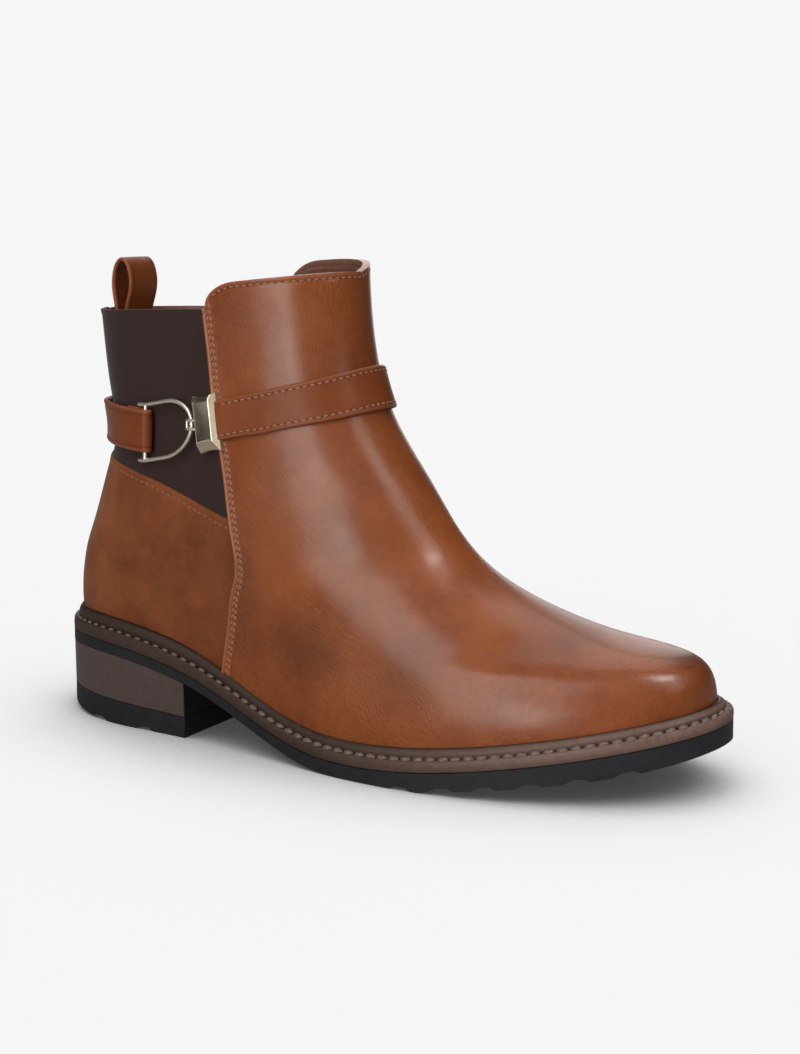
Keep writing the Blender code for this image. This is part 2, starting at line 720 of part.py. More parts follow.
def build_slider(boot, cutters):
    frame = frame_matrix(*zip_frame())
    across, tall, thick = SLIDER_SIZE
    top = SLIDER_BASE + thick
    slider = box("zip_slider", SLIDER_SIZE, (0, 0, SLIDER_BASE + thick / 2), boot, bevel=0.6)
    crown = top + PULL_WIRE + 2 * GAP + BAIL_WIRE / 2 + 0.2
    half = BAIL_SPAN / 2
    path = [(0, half, top - 0.8), (0, half, crown - 1.0), (0, half - 1.0, crown)]
    path += [(0, -half + 1.0, crown), (0, -half, crown - 1.0), (0, -half, top - 0.8)]
    bail = tube("slider_bail", np.array(path) * MM, BAIL_WIRE, cutters)
    join(slider, bail, "UNION")
    bar_height = top + GAP + PULL_WIRE / 2 + 0.1
    pivot = bpy.data.objects.new("zip_pull_pivot", None)
    pivot.matrix_world = frame @ Matrix.Translation(Vector((0, 0, bar_height)) * MM)
    boot.objects.link(pivot)
    wide, drop = PULL_RING
    corner = 1.2
    half = wide / 2
    path = [(-half + corner, 0, 0), (half - corner, 0, 0), (half, -corner, 0)]
    path += [(half, -drop + corner, 0), (half - corner, -drop, 0)]
    path += [(-half + corner, -drop, 0), (-half, -drop + corner, 0), (-half, -corner, 0)]
    ring = tube("zip_pull_ring", np.array(path) * MM, PULL_WIRE, boot, closed=True)
    tab_wide = wide - 2 * PULL_WIRE - 1.0
    middle = -drop - PULL_TAB[1] / 2 + 1.8
    tab = box("zip_pull_tab", PULL_TAB, (0, middle, 0), boot, bevel=0.5)
    eye = box("tab_eye", (20, PULL_WIRE + 2 * GAP, PULL_WIRE + 2 * GAP), (0, -drop, 0), cutters)
    join(tab, eye, "DIFFERENCE")
    for x in (-1, 1):
        side = (PULL_TAB[0] - tab_wide) / 2 + 2
        ear = box(
            "tab_shoulder_%d" % x, (side, 5.0, 8.0),
            (x * (tab_wide / 2 + side / 2), -drop + 0.8, 0), cutters,
        )
        join(tab, ear, "DIFFERENCE")
        ear.matrix_world = pivot.matrix_world
    slider.matrix_world = frame
    bail.matrix_world = frame
    eye.matrix_world = pivot.matrix_world
    for thing in (ring, tab):
        thing.parent = pivot


def build_sole(boot):
    notch = notch_rows(SOLE_NOTCHES)
    plain = [x for x in np.linspace(HEEL_BREAST + 6, 185.0, 12)] + list(PAD_X)
    tip = (258.0, 262.0, 264.7, 265.7, 266.0)
    rows = sorted([(x, 0) for x in (*heel_stations(), *plain, *tip)] + notch)
    xs = np.array([x for x, _ in rows])
    cut = np.array([depth for _, depth in rows], float)
    turns = turns_at(xs)
    plan = sole_grid(turns, SOLE_SHARES, welt_width(turns))
    top = sole_value("seat_z", plan[..., 0])
    thick = sole_value("thick", plan[..., 0])
    bottom = np.maximum(top - thick, 0)
    pad = (plan[..., 0] > PAD_X[0] - 1) & (plan[..., 0] < PAD_X[1] + 1)
    bottom[pad] = 0
    bottom += NOTCH_DEPTH * cut[:, None] * (np.abs(SOLE_SHARES) >= NOTCH_REACH)
    shell("outsole", with_height(plan, top), with_height(plan, bottom), boot)


def heel_plan(xs, inset):
    turns = turns_at(xs)
    return sole_grid(turns, SOLE_SHARES, welt_width(turns) - inset)


def build_heel(boot):
    xs = heel_stations()
    wide = heel_plan(xs, HEEL_INSET)
    narrow = heel_plan(xs, HEEL_INSET + HEEL_TAPER)
    seat = sole_value("seat_z", wide[..., 0]) - sole_value("thick", wide[..., 0]) - GAP
    foot = lift_height(narrow[..., 0]) + GAP
    shell("heel_block", with_height(wide, seat), with_height(narrow, foot), boot)
    notch = notch_rows(HEEL_NOTCHES)
    plain = [(x, 0) for x in xs if not any(abs(x - n) < 1.5 for n, _ in notch)]
    rows = sorted(plain + notch)
    cut = np.array([depth for _, depth in rows], float)
    plan = heel_plan(np.array([x for x, _ in rows]), HEEL_INSET + HEEL_TAPER)
    bottom = NOTCH_DEPTH * cut[:, None] * (np.abs(SOLE_SHARES) >= NOTCH_REACH)
    bottom = bottom + lift_foot(plan[..., 0])
    top = lift_height(plan[..., 0])
    shell("heel_top_lift", with_height(plan, top), with_height(plan, bottom), boot)


def build_insole(boot):
    length = LAST["front_x"][0] - LAST["back_x"][0]
    xs = LAST["back_x"][0] + length * (1 - np.cos(np.linspace(0, math.pi, 26))) / 2
    turns = turns_at(xs)
    plan = sole_grid(turns, np.linspace(-1, 1, 5), -LINING_DEPTH - 2 * GAP)
    seat = sole_value("seat_z", plan[..., 0]) + GAP
    shell("insole", with_height(plan, seat + INSOLE_THICK), with_height(plan, seat), boot)


def build_welt(boot):
    turns = np.linspace(0, 2 * math.pi, 72, endpoint=False)
    fold = np.minimum(turns, 2 * math.pi - turns)
    width = welt_width(fold)
    foot = last_point(turns, np.zeros_like(turns))
    edge = sole_edge(turns, np.ones_like(turns)) - foot[:, :2]
    tall = LAST["back_z"][1] - LAST["back_z"][0]
    ease = np.clip(((1 - np.cos(fold)) / 2 - 0.2) / 0.25, 0, 1)
    proud = np.interp((1 - np.cos(fold)) / 2, WELT_STATIONS, (-PANEL_PROUD, PANEL_PROUD))
    profile = []
    for share, rise in ((0.0, WELT_HEIGHT), (0.0, 0.0)) + WELT_SECTION:
        rise = rise * (1 - WELT_LOWER * ease * ease * (3 - 2 * ease))
        wall = last_point(turns, rise / tall * LEVELS[1])[:, :2]
        lean = ((wall - foot[:, :2]) * edge).sum(axis=1)
        reach = np.maximum(width * share, lean + GAP + proud)
        plan = foot[:, :2] + edge * reach[:, None]
        height = sole_value("seat_z", plan[:, 0]) + GAP + rise
        profile.append(with_height(plan, height))
    grid = np.array(profile)
    bm = bmesh.new()
    rings = [[bm.verts.new(p) for p in ring] for ring in placed(grid)]
    for k in range(len(rings)):
        for i in range(len(turns)):
            j = (i + 1) % len(turns)
            after = rings[(k + 1) % len(rings)]
            bm.faces.new((rings[k][i], rings[k][j], after[j], after[i]))
    add_mesh("welt", bm, boot)


def build_straps(boot):
    end = columns(STRAP_END_COLUMNS, STRAP_END)
    z = end["low_z"][:, None] + (end["high_z"] - end["low_z"])[:, None] * STRIP_SHARES
    tongue = side_skin(end["x"][:, None] + 0 * z, z, end["height"][:, None])
    medial = 2 * math.pi - seam_turn(0.69, "medial") - 0.01
    turns = np.linspace(station_turn(0.675), medial, 30)
    station = (1 - np.cos(turns)) / 2
    front = [strap_value(FRONT_STRAP, name, station) for name in ("low", "high", "height")]
    band = np.concatenate([tongue, strip_grid(turns, *front)])
    thickened("strap_front", band, STRAP_THICK, boot)
    back = zip_turns(np.full(1, 0.665))[1][0]
    round_back = np.linspace(2 * math.pi - back + 0.012, 2 * math.pi, 14)
    out = columns(FOLD_COLUMNS, FOLD_OUT)
    home = columns(FOLD_COLUMNS, FOLD_BACK)
    bend = np.linspace(math.pi / 2, -math.pi / 2, 7)
    radius = RING_WIRE / 2 + GAP + FOLD_THICK / 2
    xs = np.concatenate([out["x"], RING_BAR_X + radius * np.cos(bend), home["x"]])
    heights = np.concatenate(
        [out["height"], RING_BAR_OFFSET + radius * np.sin(bend), home["height"]]
    )
    share = (xs - xs[0]) / (RING_BAR_X - xs[0])
    low = FOLD_LOW[0] + (FOLD_LOW[1] - FOLD_LOW[0]) * share
    high = FOLD_HIGH[0] + (FOLD_HIGH[1] - FOLD_HIGH[0]) * share
    z = low[:, None] + (high - low)[:, None] * STRIP_SHARES
    fold = side_skin(xs[:, None] + 0 * z, z, heights[:, None])
    turns = np.concatenate([round_back, 2 * math.pi + np.array((0.17, 0.34))])
    station = (1 - np.cos(turns)) / 2
    low = strap_value(REAR_STRAP, "low", station)
    high = strap_value(REAR_STRAP, "high", station)
    wrap = strip_grid(turns, low, high, strap_value(REAR_STRAP, "height", station))
    thickened("strap_rear", np.concatenate([wrap, fold]), FOLD_THICK, boot)


def ring_middle(x):
    """Height of the ring's middle line, which rises towards its bow."""
    return RING_MID_Z + RING_TILT * np.maximum(x - RING_BAR_X, 0)


def ring_path(x, rise):
    share = np.clip((x - RING_BAR_X) / RING_REACH, 0, 1)
    height = RING_BAR_OFFSET + (RING_APEX_OFFSET - RING_BAR_OFFSET) * share
    return placed(side_skin(x, ring_middle(x) + rise, height))


def build_ring(boot, cutters):
    """A bow whose two arms run past the bar that the strap folds round."""
    angle = np.linspace(math.pi / 2, -math.pi / 2, 15)
    start = RING_BAR_X + RING_ARM
    top = np.linspace(RING_BAR_X - RING_ENDS[0], start, 5)[:-1]
    low = np.linspace(start, RING_BAR_X - RING_ENDS[1], 5)[1:]
    x = np.concatenate([top, start + RING_BOW * np.cos(angle), low])
    rise = np.concatenate([0 * top + RING_HALF, RING_HALF * np.sin(angle), 0 * low - RING_HALF])
    ring = tube("buckle_ring", ring_path(x, rise), RING_WIRE, boot)
    rise = RING_HALF * np.linspace(-1, 1, 5)
    bar = tube("ring_bar", ring_path(np.full(5, RING_BAR_X), rise), RING_WIRE, cutters)
    join(ring, bar, "UNION")


def cap_grid(xs, halves, height):
    """Points of the cap at one height: stations along the strap, edges across it."""
    share = (xs - CAP_X[0]) / (CAP_X[1] - CAP_X[0])
    middle = CAP_MID_Z[0] + (CAP_MID_Z[1] - CAP_MID_Z[0]) * share
    across = np.array((-1.0, -0.8, -0.4, 0.4, 0.8, 1.0))
    rise = halves[:, None] * across
    return side_skin(xs[:, None] - CAP_LEAN * rise, middle[:, None] + rise, height)


def build_cap(boot, cutters):
    share = np.linspace(0, 1, 7)
    xs = CAP_X[0] + (CAP_X[1] - CAP_X[0]) * share
    waist = 4 * (share - 0.5) ** 2
    halves = 9.9 + 0.7 * waist
    crown = 5.3 + 0.5 * waist - CAP_DROP * np.clip((share - CAP_FLAT) / (1 - CAP_FLAT), 0, 1)
    outer = cap_grid(xs, halves, crown[:, None])
    inner = cap_grid(xs, halves, CAP_BASE)
    cap = shell("strap_end_cap", outer, inner, boot)
    inside = np.linspace(CAP_X[0] + CAP_WALL, CAP_X[1] + 4, 6)
    half = np.full(6, CAP_SLOT_HALF)
    slot = shell(
        "cap_slot", cap_grid(inside, half, CAP_SLOT[1]), cap_grid(inside, half, CAP_SLOT[0]),
        cutters, material=False,
    )
    join(cap, slot, "DIFFERENCE")
    bend = np.linspace(math.pi / 2, -math.pi / 2, 9)
    apex = RING_BAR_X + RING_REACH
    x = apex - KNUCKLE_ROUND * np.cos(bend)
    height = RING_APEX_OFFSET + KNUCKLE_ROUND * np.sin(bend)
    x = np.concatenate([[CAP_X[0] + 0.9], x, [CAP_X[0] + 0.9]])
    height = np.concatenate([height[:1], height, height[-1:]])
    z = ring_middle(apex) + KNUCKLE_HALF * np.array((-1, -0.8, 0.8, 1))
    middle = side_skin(x[:, None] + 0 * z, z + 0 * x[:, None], height[:, None])
    knuckle = thickened("cap_knuckle", middle, KNUCKLE_THICK, cutters, material=False)
    join(cap, knuckle, "UNION")


def build_loop(boot):
    """A folded strip that stands on the back of the collar, both legs inside it."""
    path = columns(LOOP_COLUMNS, LOOP_PATH)
    side = LOOP_HALF * (2 * STRIP_SHARES - 1)
    x = path["x"][:, None] + 0 * side
    z = path["z"][:, None] + 0 * side
    y = side + 0 * x
    thickened("pull_loop", np.stack([x, y, z], axis=-1), LOOP_THICK, boot)


EDGE_TURNS = np.linspace(0, 2 * math.pi, 721)
EDGE = sole_edge(EDGE_TURNS, welt_width(np.minimum(EDGE_TURNS, 2 * math.pi - EDGE_TURNS)))
ORIGIN = np.append((EDGE.min(axis=0) + EDGE.max(axis=0)) / 2, 0.0)

BOOT, CUTTERS = clear_scene()
build_upper(BOOT)
build_gore(BOOT)
build_zip(BOOT)
build_slider(BOOT, CUTTERS)
build_sole(BOOT)
build_heel(BOOT)
build_insole(BOOT)
build_welt(BOOT)
build_straps(BOOT)
build_ring(BOOT, CUTTERS)
build_cap(BOOT, CUTTERS)
build_loop(BOOT)
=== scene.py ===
"""Looks of the buckle ankle boot: fine skins over its solids, stitches, materials and a stage.

Sizes are in millimetres from the back of the sole, as in the part's own tables.
"""

import math

import bmesh
import bpy
import numpy as np
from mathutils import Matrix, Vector


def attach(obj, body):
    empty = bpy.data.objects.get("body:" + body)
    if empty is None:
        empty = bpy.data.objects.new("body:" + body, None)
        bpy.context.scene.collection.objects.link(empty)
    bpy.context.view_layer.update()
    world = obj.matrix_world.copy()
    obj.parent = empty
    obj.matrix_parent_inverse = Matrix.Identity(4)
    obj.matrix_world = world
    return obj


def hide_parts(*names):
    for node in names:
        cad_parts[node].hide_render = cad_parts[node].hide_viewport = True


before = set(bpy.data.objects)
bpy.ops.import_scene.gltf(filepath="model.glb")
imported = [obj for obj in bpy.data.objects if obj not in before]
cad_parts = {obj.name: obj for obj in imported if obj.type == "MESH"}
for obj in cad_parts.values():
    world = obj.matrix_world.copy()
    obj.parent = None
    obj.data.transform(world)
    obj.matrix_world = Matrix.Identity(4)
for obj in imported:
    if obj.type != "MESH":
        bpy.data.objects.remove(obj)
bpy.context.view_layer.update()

MM = 0.001
GAP = 0.3
STEP = 1e-4
TURN = 2 * math.pi

# The last: sections from the sole upwards
SECTION_COLUMNS = (
    "back_x", "back_z", "front_x", "front_z", "back_round",
    "heel", "waist", "instep", "ball", "toe", "front_round", "sag",
)
SECTIONS = (
    (4.4, 30.8, 266.0, 24.1, 33, 28.6, 31.0, 37.6, 40.0, 31.0, 20, 1.00),
    (2.5, 44.0, 265.7, 34.6, 33, 29.2, 32.2, 38.5, 40.5, 31.0, 18, 1.00),
    (3.9, 60.0, 260.9, 44.0, 32, 29.4, 32.8, 37.5, 38.5, 28.5, 16, 0.85),
    (7.9, 73.0, 240.5, 48.3, 30, 29.0, 33.0, 36.5, 35.5, 25.5, 15, 0.66),
    (12.9, 87.0, 208.0, 56.1, 28, 28.2, 33.0, 35.0, 33.0, 23.5, 14, 0.48),
    (17.8, 101.0, 177.8, 72.6, 26, 27.0, 32.5, 34.0, 31.0, 22.5, 14, 0.32),
    (21.3, 114.0, 159.2, 97.3, 24, 25.8, 31.5, 32.5, 29.5, 21.5, 15, 0.18),
    (19.1, 128.0, 143.0, 121.6, 23, 25.2, 30.8, 31.0, 28.5, 21.5, 16, 0.07),
    (16.8, 145.0, 134.6, 147.6, 23, 25.2, 30.8, 31.0, 28.5, 21.5, 18, 0.00),
    (14.5, 170.0, 131.4, 189.5, 24, 26.0, 31.8, 32.0, 29.5, 22.5, 20, 0.00),
)
WIDTH_NAMES = ("heel", "waist", "instep", "ball", "toe")
WIDTH_STATIONS = (0.10, 0.34, 0.54, 0.72, 0.88)
SOLE_COLUMNS = ("x", "middle_y", "seat_z", "thick")
SOLE_ROWS = (
    (0, 0.0, 31.0, 3.9), (20, -0.3, 31.9, 3.9), (40, -0.5, 31.0, 3.8), (60, -0.8, 27.8, 3.6),
    (76, -1.6, 23.9, 3.5), (100, -3.2, 15.6, 3.6), (121, -3.9, 8.6, 4.2), (136, -4.0, 5.7, 4.9),
    (152, -3.4, 5.0, 5.0), (174, -1.7, 6.2, 6.0), (204, 1.5, 10.2, 6.6), (231, 4.1, 15.0, 7.2),
    (256, 6.0, 20.3, 7.4), (272, 7.0, 24.0, 6.6),
)
SEAM_COLUMNS = ("level", "lateral", "medial")
SEAMS = (
    (0.00, 0.320, 0.385), (0.07, 0.336, 0.389), (0.15, 0.3525, 0.397), (0.28, 0.399, 0.419),
    (0.43, 0.474, 0.440), (0.57, 0.505, 0.450), (0.70, 0.540, 0.464), (0.80, 0.563, 0.469),
    (0.90, 0.563, 0.469), (1.00, 0.556, 0.469),
)

# The upper
PANEL_PROUD = 0.6
LINING_DEPTH = 2.2
GORE_BACK = 0.024
GORE_FOOT = 0.505
GORE_OUTER = -0.9
GORE_INNER = -2.0
GORE_BINDING = 2.2
COLLAR_BACK = 0.929
COLLAR_SEAM = 0.9035
COLLAR_FRONT = 0.944
COLLAR_OUT = 0.948
COLLAR_IN = 0.982
COLLAR_EASE = 1.7
COLLAR_MEDIAL = 0.896
CORNER_OUT = 1.6
CORNER_IN = 6.5
ROUND_OUT = 13.0
ROUND_IN = 18.0
SEAM_STEP = 0.5
TUCK = 1.0
MM_PER_LEVEL = {"front": 195.0, "gore": 185.0, "quarter": 180.0}
SEAM_ROWS = (2.1, 3.5)
SEAM_RAISED = 4.3
SEAM_ROLL = 0.7
HEM = 1.7
EDGE_ROW = 4.0

# The sole
WELT_AT_HEEL = 4.6
WELT_AT_TOE = 6.0
WELT_LOWER = 0.2
WELT_ROW = (0.70, 4.75)
WELT_STATIONS = (0.24, 0.31)
HEEL_BREAST = 73.7
HEEL_INSET = 0.1
HEEL_TAPER = 0.3
LIFT_AT_BACK = 10.8
LIFT_AT_BREAST = 7.8
LIFT_BEVEL = 4.2
LIFT_FLAT_X = 45.0
NOTCH_DEPTH = 1.2
NOTCH_WIDTH = 6.0
NOTCH_SLOPE = 1.4
NOTCH_REACH = 0.72
SOLE_NOTCHES = np.arange(170.0, 250.0, 15.0)
HEEL_NOTCHES = (27.0, 51.0)
PAD_X = (147.0, 180.0)
PAD_EASE = 4.0
INSOLE_THICK = 3.0
INSOLE_DISH = 0.4
# A section of the welt from inside out; its last column darkens it: painted shade under the upper's edge,
# on the bead, in the stitch groove and along the lower edge
WELT_COLUMNS = ("share", "rise", "painted_shade_and_burnish")
WELT_SECTION = (
    (0.00, 9.2, 1.0), (0.00, 0.0, 1.0), (1.00, 0.0, 0.6), (1.00, 0.4, 0.3), (1.02, 2.2, 0.0),
    (1.00, 3.8, 0.0), (0.95, 4.6, 0.1), (0.88, 4.9, 0.3), (0.78, 4.9, 0.8), (0.71, 4.5, 1.0),
    (0.66, 4.1, 1.0), (0.60, 4.4, 1.0), (0.585, 5.4, 0.8), (0.575, 6.4, 0.4), (0.53, 7.4, 0.2),
    (0.45, 8.2, 0.25), (0.36, 8.7, 0.5), (0.30, 9.1, 0.9),
)

# The zip
ZIP_WIDTH = 7.0
ZIP_FOOT_WIDTH = 3.4
ZIP_TAPER = (0.10, 0.22)
ZIP_FOOT = 0.505 * 3 / 14
ZIP_TAPE_OUTER = -1.2
ZIP_COIL = 3.0
ZIP_PITCH = 1.35
COIL_LUMP = (1.35, 0.95, 1.0)
SLIDER_LEVEL = 0.865
SLIDER_SIZE = (8.0, 9.5, 2.2)
SLIDER_BASE = 0.9
PULL_WIRE = 1.2
PULL_DROP = 7.0
PULL_TAB = (7.0, 17.0, 2.4)
PULL_EYE = 1.8
PULL_NECK = 3.2
PULL_TIP = 2.0
PULL_ROW = (5.4, 15.2)

# The strap, its ring and its end cap
STRAP_THICK = 2.0
FOLD_THICK = 1.5
STRAP_START = 0.695
STRAP_AT_ZIP = (0.69, 0.665)
STRAP_COLUMNS = ("station", "low", "high", "height")
FRONT_STRAP = (
    (0.440, 0.634, 0.718, 1.9), (0.560, 0.661, 0.735, 1.9), (0.685, 0.682, 0.752, 1.9),
    (0.820, 0.701, 0.770, 1.9), (0.934, 0.715, 0.785, 1.9), (1.000, 0.7245, 0.796, 1.9),
)
STRAP_END_COLUMNS = ("x", "low_z", "high_z", "height")
STRAP_END = (
    (84.8, 112.7, 127.8, 2.8), (88.0, 113.3, 128.6, 2.8), (91.6, 114.2, 129.4, 2.8),
    (95.0, 115.0, 130.2, 2.4), (99.0, 115.9, 131.2, 2.1),
)
REAR_STRAP = (
    (0.000, 0.5525, 0.6865, 2.1), (0.100, 0.562, 0.692, 2.0), (0.200, 0.574, 0.698, 1.7),
    (0.300, 0.590, 0.703, 1.3), (0.440, 0.614, 0.714, 0.9),
)
FOLD_COLUMNS = ("x", "height")
FOLD_OUT = ((31.0, 1.9), (36.0, 2.1), (41.5, 2.7), (47.0, 3.4), (51.5, 4.0))
FOLD_BACK = ((52.5, 0.6), (48.5, 0.6), (45.0, 0.6))
FLAP_X = 49.2
FOLD_LOW = (108.6, 107.3)
FOLD_HIGH = (125.6, 123.5)
RING_WIRE = 1.6
RING_BAR_X = 55.0
RING_MID_Z = 114.6
RING_HALF = 10.6
RING_ARM = 10.0
RING_BOW = 13.4
RING_REACH = RING_ARM + RING_BOW
RING_ENDS = (3.0, 2.5)
RING_TILT = 0.2
RING_BAR_OFFSET = 2.4
RING_APEX_OFFSET = 3.2
CAP_X = (81.6, 90.6)
CAP_LEAN = 0.17
CAP_MID_Z = (119.4, 121.2)
CAP_BASE = 0.9
CAP_HALF = (9.9, 10.6)
CAP_CROWN = (5.3, 5.8)
CAP_FACET = (3.4, 1.4)
CAP_BEVEL = 2.1
CAP_BACK = 0.5
CAP_DROPS = (2.4, 1.0, 2.6, 0.3)
KNUCKLE_HALF = 2.2
KNUCKLE_ROUND = 1.95
LINK_WIRE = 1.1
DOME_COLUMNS = ("reach", "size")
DOME_ROWS = ((0.95, 0.25), (0.7, 0.71), (0.35, 0.93))

# The pull loop
LOOP_HALF = 8.7
LOOP_THICK = 1.5
LOOP_PATH = (
    (21.6, 148.0), (21.1, 154.0), (20.4, 161.0), (19.5, 166.0), (19.3, 170.5),
    (20.0, 174.8), (21.5, 177.9), (23.6, 179.2), (25.7, 177.9), (27.2, 174.8),
    (27.9, 170.5), (27.4, 166.0), (25.9, 161.0), (24.5, 154.0), (23.9, 148.0),
)

# Stitches and needle holes: pitch, length, width and height of each lump
STITCHES = {
    "seam": (2.4, 1.8, 0.8, 0.55), "seam_hole": (2.4, 0.6, 0.55, 0.4),
    "hem": (2.7, 1.8, 0.65, 0.5), "hem_hole": (2.7, 0.7, 0.55, 0.3),
    "strap": (2.7, 1.8, 0.7, 0.5), "strap_hole": (2.7, 0.8, 0.7, 0.3),
    "gore": (2.7, 2.2, 0.9, 0.6), "zip": (2.9, 1.9, 0.6, 0.45),
    "pull": (1.9, 1.35, 0.42, 0.3), "welt": (4.6, 4.0, 2.5, 2.4),
}

# Soft creases of the front panel from one place to another, as turn and level; the middle
# of each sags along the loop, and depth below zero is a ridge
CREASE_COLUMNS = ("turn_a", "level_a", "turn_b", "level_b", "width", "depth")
CREASES = (
    (1.75, 0.600, 2.55, 0.640, 7.0, 0.55),
    (1.78, 0.530, 2.75, 0.585, 8.0, -0.40),
    (1.85, 0.455, 2.95, 0.520, 9.0, 0.70),
    (3.45, 0.560, 4.30, 0.470, 9.0, 0.60),
    (1.95, 0.300, 2.50, 0.400, 10.0, -0.45),
    (2.02, 0.215, 2.62, 0.330, 8.0, 0.45),
    (2.20, 0.120, 2.70, 0.250, 6.0, 0.35),
    (3.62, 0.250, 4.15, 0.140, 7.0, 0.40),
    (1.80, 0.840, 2.30, 0.900, 9.0, 0.30),
)

# Patches of the front panel: kind, turn and level of the middle, radius and strength
# the first kind darkens: burnish on the toe and lower outer side, painted shade on the vamp and shaft; the
# second kind lightens
PATCHES = (
    ("painted_shade_and_burnish", 3.10, 0.165, 11.0, 0.45),
    ("painted_shade_and_burnish", 3.30, 0.100, 14.0, 0.45),
    ("painted_shade_and_burnish", 3.00, 0.030, 16.0, 0.20),
    ("painted_shade_and_burnish", 1.92, 0.170, 14.0, 0.30),
    ("painted_shade_and_burnish", 1.62, 0.202, 12.0, 0.30),
    ("painted_shade_and_burnish", 3.20, 0.330, 22.0, 0.25),
    ("painted_shade_and_burnish", 3.05, 0.820, 20.0, 0.25),
    ("wear_and_painted_highlight", 2.00, 0.580, 20.0, 0.20),
    ("wear_and_painted_highlight", 1.95, 0.250, 22.0, 0.20),
    ("wrinkle", 2.31, 0.168, 24.0, 1.00),
    ("wrinkle", 2.69, 0.122, 15.0, 0.90),
    ("wrinkle", 2.11, 0.272, 18.0, 0.80),
    ("wrinkle", 1.84, 0.321, 16.0, 0.80),
    ("wrinkle", 2.03, 0.615, 14.0, 0.70),
    ("wrinkle", 2.55, 0.644, 15.0, 0.70),
    ("wrinkle", 2.75, 0.559, 15.0, 0.70),
    ("wrinkle", 1.73, 0.100, 12.0, 0.60),
    ("wrinkle", 2.51, 0.909, 14.0, 0.60),
)


def columns(names, rows):
    """A table as one array per named column."""
    return {name: np.array(values, float) for name, values in zip(names, zip(*rows))}


def between(start, end, share):
    return start + (end - start) * share


def limit(value):
    return np.clip(value, 0, 1)


def smooth_step(value):
    ease = limit(value)
    return ease * ease * (3 - 2 * ease)


def bump_at(distance, width):
    return np.exp(-(distance / width) ** 2)


def same_shape(*values):
    """The values as arrays of one shape."""
    return np.broadcast_arrays(*(np.asarray(value, float) for value in values))


def run_of(path):
    """Length along a path at each of its points."""
    return np.append(0, np.cumsum(np.linalg.norm(np.diff(path, axis=0), axis=-1)))


def natural_cubic(knots, values, places):
    """The smooth curve through the values, read at the places."""
    values = np.asarray(values, float)
    places = np.asarray(places, float)
    steps = np.diff(knots)
    count = len(knots)
    matrix = np.eye(count)
    right = np.zeros_like(values)
    for i in range(1, count - 1):
        matrix[i, i - 1:i + 2] = steps[i - 1], 2 * (steps[i - 1] + steps[i]), steps[i]
        rise = (values[i + 1] - values[i]) / steps[i]
        right[i] = 6 * (rise - (values[i] - values[i - 1]) / steps[i - 1])
    bend = np.linalg.solve(matrix, right)
    i = np.clip(np.searchsorted(knots, places) - 1, 0, count - 2)
    shape = places.shape + (1,) * (values.ndim - 1)
    after = (places - knots[i]).reshape(shape)
    before = (knots[i + 1] - places).reshape(shape)
    step = steps[i].reshape(shape)
    cubic = (bend[i] * before**3 + bend[i + 1] * after**3) / (6 * step)
    start = (values[i] / step - bend[i] * step / 6) * before
    return cubic + start + (values[i + 1] / step - bend[i + 1] * step / 6) * after


LAST = columns(SECTION_COLUMNS, SECTIONS)
SOLE = columns(SOLE_COLUMNS, SOLE_ROWS)
SEAM = columns(SEAM_COLUMNS, SEAMS)
DOME = columns(DOME_COLUMNS, DOME_ROWS)
BACK_STEPS = np.hypot(np.diff(LAST["back_x"]), np.diff(LAST["back_z"]))
FRONT_STEPS = np.hypot(np.diff(LAST["front_x"]), np.diff(LAST["front_z"]))
LEVELS = np.append(0, np.cumsum(BACK_STEPS + FRONT_STEPS)) / np.sum(BACK_STEPS + FRONT_STEPS)
STATION_TURNS = np.arccos(1 - 2 * np.array(WIDTH_STATIONS))
TURNS = np.concatenate(([0], STATION_TURNS, [math.pi]))


def sole_value(name, x):
    return natural_cubic(SOLE["x"], SOLE[name], x)


def at_level(name, level):
    return natural_cubic(LEVELS, LAST[name], level)


def station_turn(station):
    return np.arccos(1 - 2 * limit(station))


def station_of(turn):
    return (1 - np.cos(turn)) / 2


def last_point(turn, level):
    """A point of the last: turn runs from the back over the outer side to the toe and round."""
    turn, level = same_shape(turn, level)
    shape = turn.shape
    turn = np.mod(turn.ravel(), TURN)
    level = level.ravel()
    row = {name: at_level(name, level) for name in SECTION_COLUMNS}
    fold = np.minimum(turn, TURN - turn)
    side = np.where(turn <= math.pi, -1.0, 1.0)
    station = station_of(fold)
    length = row["front_x"] - row["back_x"]
    x = row["back_x"] + length * station
    reach = [np.sqrt(row["back_round"] * length / 2)]
    reach += [row[name] / math.sin(t) for name, t in zip(WIDTH_NAMES, STATION_TURNS)]
    reach += [np.sqrt(row["front_round"] * length / 2)]
    weight = natural_cubic(TURNS, np.eye(len(TURNS)), fold)
    width = (weight * np.stack(reach, axis=1)).sum(axis=1) * np.sin(fold)
    y = sole_value("middle_y", x) + side * width
    sole_x = between(LAST["back_x"][0], LAST["front_x"][0], station)
    straight = between(LAST["back_z"][0], LAST["front_z"][0], station)
    sag = row["sag"] * (sole_value("seat_z", sole_x) + GAP - straight)
    z = between(row["back_z"], row["front_z"], station) + sag
    return np.stack([x, y, z], axis=1).reshape(shape + (3,))


def unit(vectors):
    return vectors / np.maximum(np.linalg.norm(vectors, axis=-1, keepdims=True), 1e-12)


def outward(turn, level):
    along = last_point(turn + STEP, level) - last_point(turn - STEP, level)
    rise = last_point(turn, level + STEP) - last_point(turn, level - STEP)
    return unit(np.cross(along, rise))


def skin(turn, level, height):
    """A point of the last, moved out from its surface."""
    turn, level, height = same_shape(turn, level, height)
    return last_point(turn, level) + height[..., None] * outward(turn, level)


